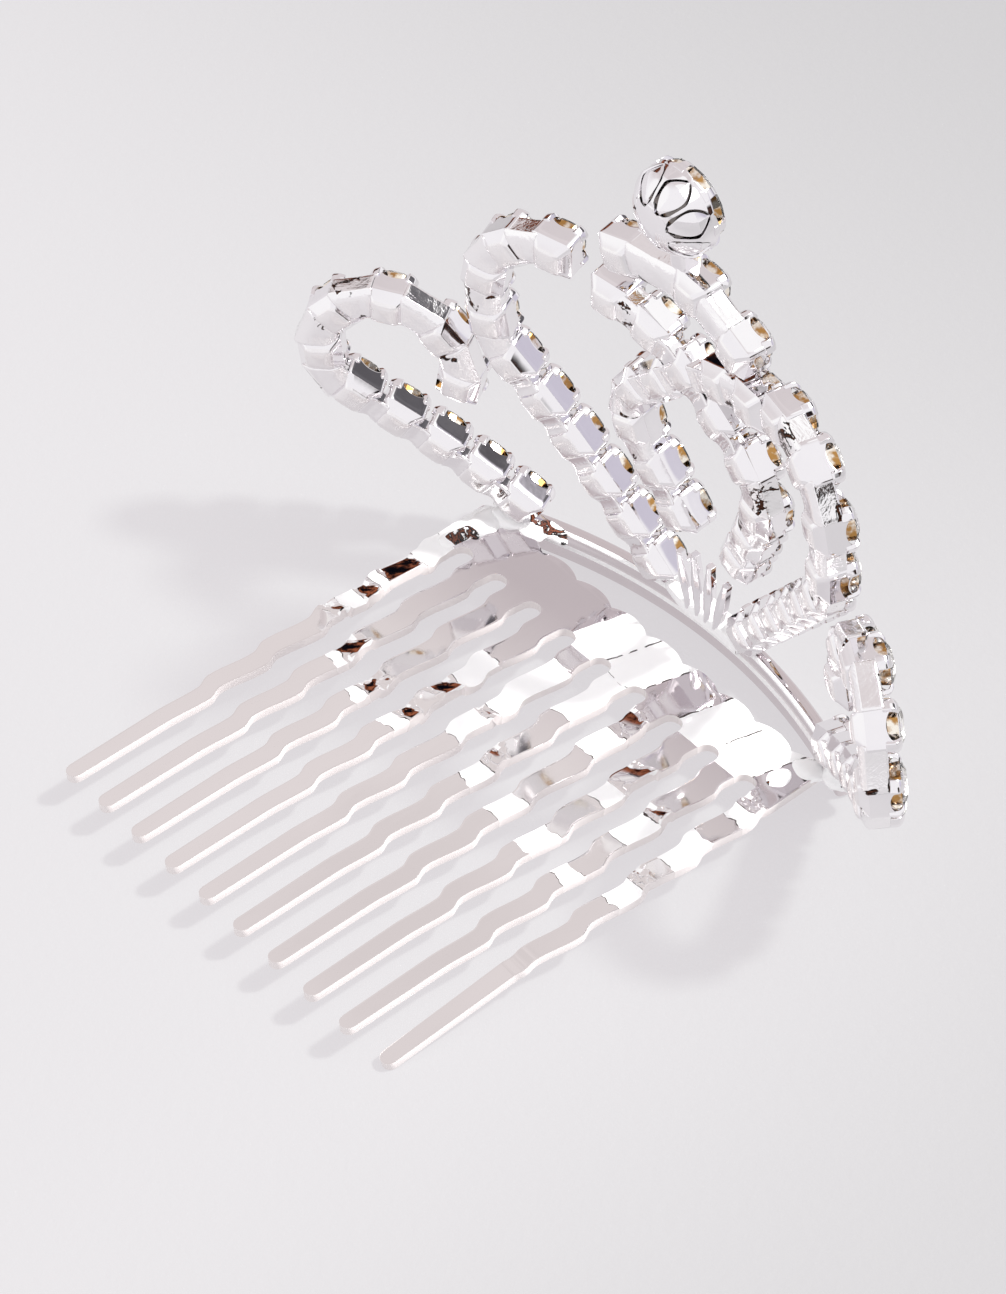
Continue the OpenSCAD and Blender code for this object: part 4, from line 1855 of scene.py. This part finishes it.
    def claw(self, angle: float) -> bpy.types.Object:
        """Models one claw, from the rim up and in over the crystal.

        Args:
            angle: Turn about the axis in degrees.

        Returns:
            The claw about the origin.
        """
        claw = Bench.box("big_claw", (0.34, 2.0, 0.76), (0, 0, 0))
        Bench.edit(claw)
        bpy.ops.mesh.select_all(action="SELECT")
        bpy.ops.mesh.subdivide(number_cuts=9)
        Bench.leave()
        high = self.depth / 2

        def bend(co: Vector) -> Sequence[float]:
            """Follows the wall, then leans in over the crystal's edge.

            Args:
                co: Place of a vertex.

            Returns:
                Its new place.
            """
            t = co.y / 2 + 0.5
            lean = max(0.0, t - 0.45) / 0.55
            radius = self.across / 2 - 0.16 - 0.62 * lean ** 2
            y = 0.55 + (high - 0.72) * t - 0.16 * lean ** 2
            wide = (1 - 0.52 * t) * (0.8 if t > 0.95 else 1.0)
            thick = 1 - 0.25 * t
            return radius + co.x * thick, y, co.z * wide

        Bench.reshape(claw, bend)
        Bench.modify(claw, "BEVEL", width=0.1, segments=3, limit_method="ANGLE", angle_limit=math.radians(40))
        claw.data.transform(Matrix.Rotation(math.radians(angle), 4, "Y"))
        return claw

    def build(self) -> bpy.types.Object:
        """Models the cup.

        Returns:
            The setting in millimetres.
        """
        claws = [self.claw(i * 360 / self.claws) for i in range(self.claws)]
        petals = [self.petal((i + 0.5) * 360 / self.claws) for i in range(self.claws)]
        shell, liner = self.shell(), self.liner()
        for part in [shell] + claws + petals:
            Bench.dress(part, SETTING_METAL)
        # The seat takes the painted shade
        Bench.dress(liner, SETTING_METAL, 1)
        setting = Bench.join([shell, liner] + claws + petals, "big_setting_shell")
        Bench.smooth(setting, 28)
        setting.data.transform(self.layout.on_face(self.spot) @ Matrix.Translation((0, -self.back, 0)))
        return setting


@dataclass
class Studio:
    """Pale table, soft lights, surroundings and the camera at the photograph's angle."""

    lens: float = 4400 * 36 / 1294
    place_mm: Sequence[float] = (154.54, -123.46, 218.08)
    right: Sequence[float] = (0.65059, 0.75896, -0.0265)
    down: Sequence[float] = (0.5343, -0.48225, -0.69423)
    key: Sequence[float] = (0.47, 0.61, 1.0)
    patches: Sequence[tuple[Sequence[float], float, float, str, str]] = (
        ((-0.56, 0.36, 0.74), 0.40, 0.80, "E1DADB", "D9D2D3"),
        ((-0.56, -0.74, 0.36), 0.90, 0.96, "FFFFFF", "FFFFFF"),
        ((0.05, 0.42, 0.91), 0.94, 0.96, "FFFFFF", "FFFFFF"),
        ((0.21, 0.82, 0.53), 0.93, 0.97, "6C6A6E", "5C5A5E"),
        ((-0.92, 0.36, 0.16), 0.955, 0.968, "9A5A40", "0A0A10"),
        ((0.66, 0.72, 0.23), 0.93, 0.98, "D2CEDB", "CCC8D6"),
        ((0.88, 0.05, 0.15), 0.955, 0.985, "4A3630", "100F14"))

    def camera(self) -> None:
        """Makes the camera."""
        data = bpy.data.cameras.new("view")
        data.lens = self.lens
        data.sensor_width = 36
        data.clip_start, data.clip_end = 0.01, 20
        camera = bpy.data.objects.new("view", data)
        bpy.context.scene.collection.objects.link(camera)
        x = Vector(self.right).normalized()
        y = -Vector(self.down)
        y = (y - x * y.dot(x)).normalized()
        z = x.cross(y)
        frame = Matrix((x, y, z)).transposed().to_4x4()
        camera.matrix_world = Matrix.Translation(Vector(self.place_mm) * MM) @ frame
        bpy.context.scene.camera = camera

    def table(self) -> None:
        """Makes the table top."""
        Bench.deselect()
        bpy.ops.mesh.primitive_plane_add(size=5)
        table = Bench.named("table_top")
        table.data.materials.append(Finish.TABLE.material())

    def lamp(self, name: str, direction: Sequence[float], distance: float, size: float, power: float,
             colour: str) -> None:
        """Adds a soft lamp that looks at the tiara.

        Args:
            name: Name of the lamp.
            direction: From the tiara to the lamp.
            distance: How far off it stands.
            size: Edge of its square.
            power: Watts.
            colour: sRGB hex colour.
        """
        data = bpy.data.lights.new(name, "AREA")
        data.shape = "SQUARE"
        data.size = size
        data.energy = power
        data.color = linear(colour)[:3]
        lamp = bpy.data.objects.new(name, data)
        bpy.context.scene.collection.objects.link(lamp)
        way = Vector(direction).normalized()
        lamp.location = Vector((0, 0, 0.015)) + way * distance
        lamp.rotation_mode = "QUATERNION"
        lamp.rotation_quaternion = (-way).to_track_quat("-Z", "Y")

    def surroundings(self) -> None:
        """Makes the pale room. The metal mirrors its darker corners and the glow round the lamp."""
        world = bpy.data.worlds.new("pale_room")
        bpy.context.scene.world = world
        world.use_nodes = True
        tree = world.node_tree
        tree.nodes.clear()
        way = add_node(tree, "ShaderNodeTexCoord").outputs["Generated"]
        streak = add_node(tree, "ShaderNodeTexNoise", {"Vector": way, "Scale": 11.0, "Detail": 4.0,
                                                       "Roughness": 0.65})
        colour = add_node(tree, "ShaderNodeRGB").outputs["Color"]
        colour.default_value = linear("F7F6F8")
        for direction, start, full, light, deep in self.patches:
            v = Vector(direction).normalized()
            dot = add_node(tree, "ShaderNodeVectorMath", {0: way, 1: tuple(v)}, operation="DOT_PRODUCT")
            part = add_node(tree, "ShaderNodeMapRange", {"Value": dot.outputs["Value"], "From Min": start,
                                                         "From Max": full}, interpolation_type="SMOOTHSTEP")
            ramp = add_node(tree, "ShaderNodeValToRGB", {"Fac": streak.outputs["Fac"]})
            ramp.color_ramp.elements[0].position = 0.46
            ramp.color_ramp.elements[0].color = linear(deep)
            ramp.color_ramp.elements[1].position = 0.56
            ramp.color_ramp.elements[1].color = linear(light)
            colour = add_node(tree, "ShaderNodeMixRGB", {"Fac": part.outputs["Result"], "Color1": colour,
                                                         "Color2": ramp.outputs["Color"]}).outputs["Color"]
        lamp = Vector(self.key).normalized()
        near = add_node(tree, "ShaderNodeVectorMath", {0: way, 1: tuple(lamp)}, operation="DOT_PRODUCT")
        glow = add_node(tree, "ShaderNodeMapRange", {"Value": near.outputs["Value"], "From Min": 0.955,
                                                     "From Max": 0.985, "To Min": 1.06, "To Max": 8.0},
                        interpolation_type="SMOOTHSTEP")
        background = add_node(tree, "ShaderNodeBackground", {"Color": colour, "Strength": glow.outputs["Result"]})
        add_node(tree, "ShaderNodeOutputWorld", {"Surface": background.outputs["Background"]})

    def build(self) -> None:
        """Sets the whole studio up."""
        self.camera()
        self.table()
        self.lamp("key_lamp", self.key, 1.3, 0.12, 27.0, "FFFDFA")
        self.surroundings()
        bpy.context.scene.view_settings.view_transform = "Standard"
        bpy.context.scene.view_settings.look = "None"


def runs_of(layout: Layout) -> dict[str, list[Run]]:
    """Lists the runs of cups, as the CAD has them.

    Args:
        layout: The tiara's layout.

    Returns:
        Runs by name.
    """
    scroll = Run([16.4, 1.7, 33.5], [[13.6, 0], [21.9, 248]],
                 [i * layout.run_pitch for i in range(5)] + [14.0 + i * layout.bend_pitch for i in range(1, 6)])
    arch = Run([4.8, 2.3, 52], [[17.5, 0], [4.5, 38], [2.3, 0], [9.8, 100]],
               [i * layout.run_pitch for i in range(6)] + [21.3, 25.5, 29.6, 33.4])
    loop_legs = [[6.4, 0], [6.1, -78], [8, 0]]
    loop_stops = [3.7, 7.3, 11.1, 14.8, 18.3]
    loop = [Run([0, 22.3, -40], loop_legs, loop_stops, lead=0.0, mirrored=m, tilt=True) for m in (False, True)]
    arm = [Run([0.5, 24.3, 24], [[3, 0], [6, -25]], [3.8, 7.4], lead=0.0, mirrored=m, about=0.5)
           for m in (False, True)]
    return {"scroll": [scroll], "arch": [arch], "loop": loop + arm}


def main() -> None:
    """Builds the tiara, its studio and the log."""
    logging.basicConfig(level=logging.INFO, format="%(message)s")
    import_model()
    layout = Layout()
    runs = runs_of(layout)
    cup = SmallCup().build()
    stone = Brilliant(radius=1.27, table=0.76, crown=0.26, pavilion=1.6, girdle=0.12, base=1.08, steep=0.7,
                      squareness=2.8).build("small_stone")
    work = CupWork(layout, cup, stone)

    for side in ("left", "right"):
        for kind in ("scroll", "arch"):
            metal = work.metal(f"{side}_{kind}_cups", runs[kind], [], [], side == "left")
            Bench.hand_over(metal, METAL, Slot.PLATE, [f"{side}_{kind}"])
            stones = work.stones(f"{side}_{kind}_crystals", runs[kind][0].cups(layout), side == "left")
            Bench.hand_over(stones, [Finish.CRYSTAL, Finish.FOIL], Slot.CRYSTAL, [f"{side}_{kind}_stones"])

    top = layout.tilted([0, 22.3, 45])
    loop = work.metal("centre_loop_cups", runs["loop"], [], [top], False)
    Bench.hand_over(loop, METAL, Slot.PLATE, ["centre_loop"])
    spots = [top] + [s for run in runs["loop"] for s in run.cups(layout)]
    Bench.hand_over(work.stones("centre_loop_crystals", spots, False), [Finish.CRYSTAL, Finish.FOIL],
                    Slot.CRYSTAL, ["centre_loop_stones"])

    crest_spots = [[-5.1, 31.3, 12], [1.6, 32.1, -6], [5.9, 30.3, -20]]
    crest = work.metal("crest_cups", [], [([-1.8, 31.9, 7], 3.4, -18), ([3.8, 31.3, -22], 1.4, -14)],
                       crest_spots, False)
    post = Bench.box("post", (1.5, 1.5, 2.3), (0, -0.4, 0))
    Bench.modify(post, "BEVEL", width=0.3, segments=3, limit_method="ANGLE", angle_limit=math.radians(40))
    post.data.transform(layout.on_face([0.4, 34.05, 0]))
    Bench.dress(post, METAL)
    crest = Bench.join([crest, post], "crest_cups")
    Bench.hand_over(crest, METAL, Slot.PLATE, ["crest"])
    Bench.hand_over(work.stones("crest_crystals", crest_spots, False), [Finish.CRYSTAL, Finish.FOIL],
                    Slot.CRYSTAL, ["crest_stones"])

    setting = BigSetting(layout)
    Bench.hand_over(setting.build(), SETTING_METAL, Slot.PLATE, ["centre_setting"])
    big = Brilliant(radius=2.8, table=1.65, crown=0.5, pavilion=1.35, girdle=0.15,
                    base=setting.depth / 2 - setting.back - setting.pocket + 1.75, steep=0.8).build("centre_crystal")
    big.data.transform(layout.on_face(setting.spot))
    Bench.hand_over(big, [Finish.CRYSTAL, Finish.FOIL], Slot.CRYSTAL, ["centre_stone"])

    Bench.hand_over(Comb(layout).build(), [Finish.SHEET], Slot.COMB, ["comb"])
    Bench.hand_over(Band(layout).build(), BAND_METAL, Slot.PLATE, ["band"])
    Bench.drop(cup)
    Bench.drop(stone)

    Studio().build()


if __name__ == "__main__":
    main()
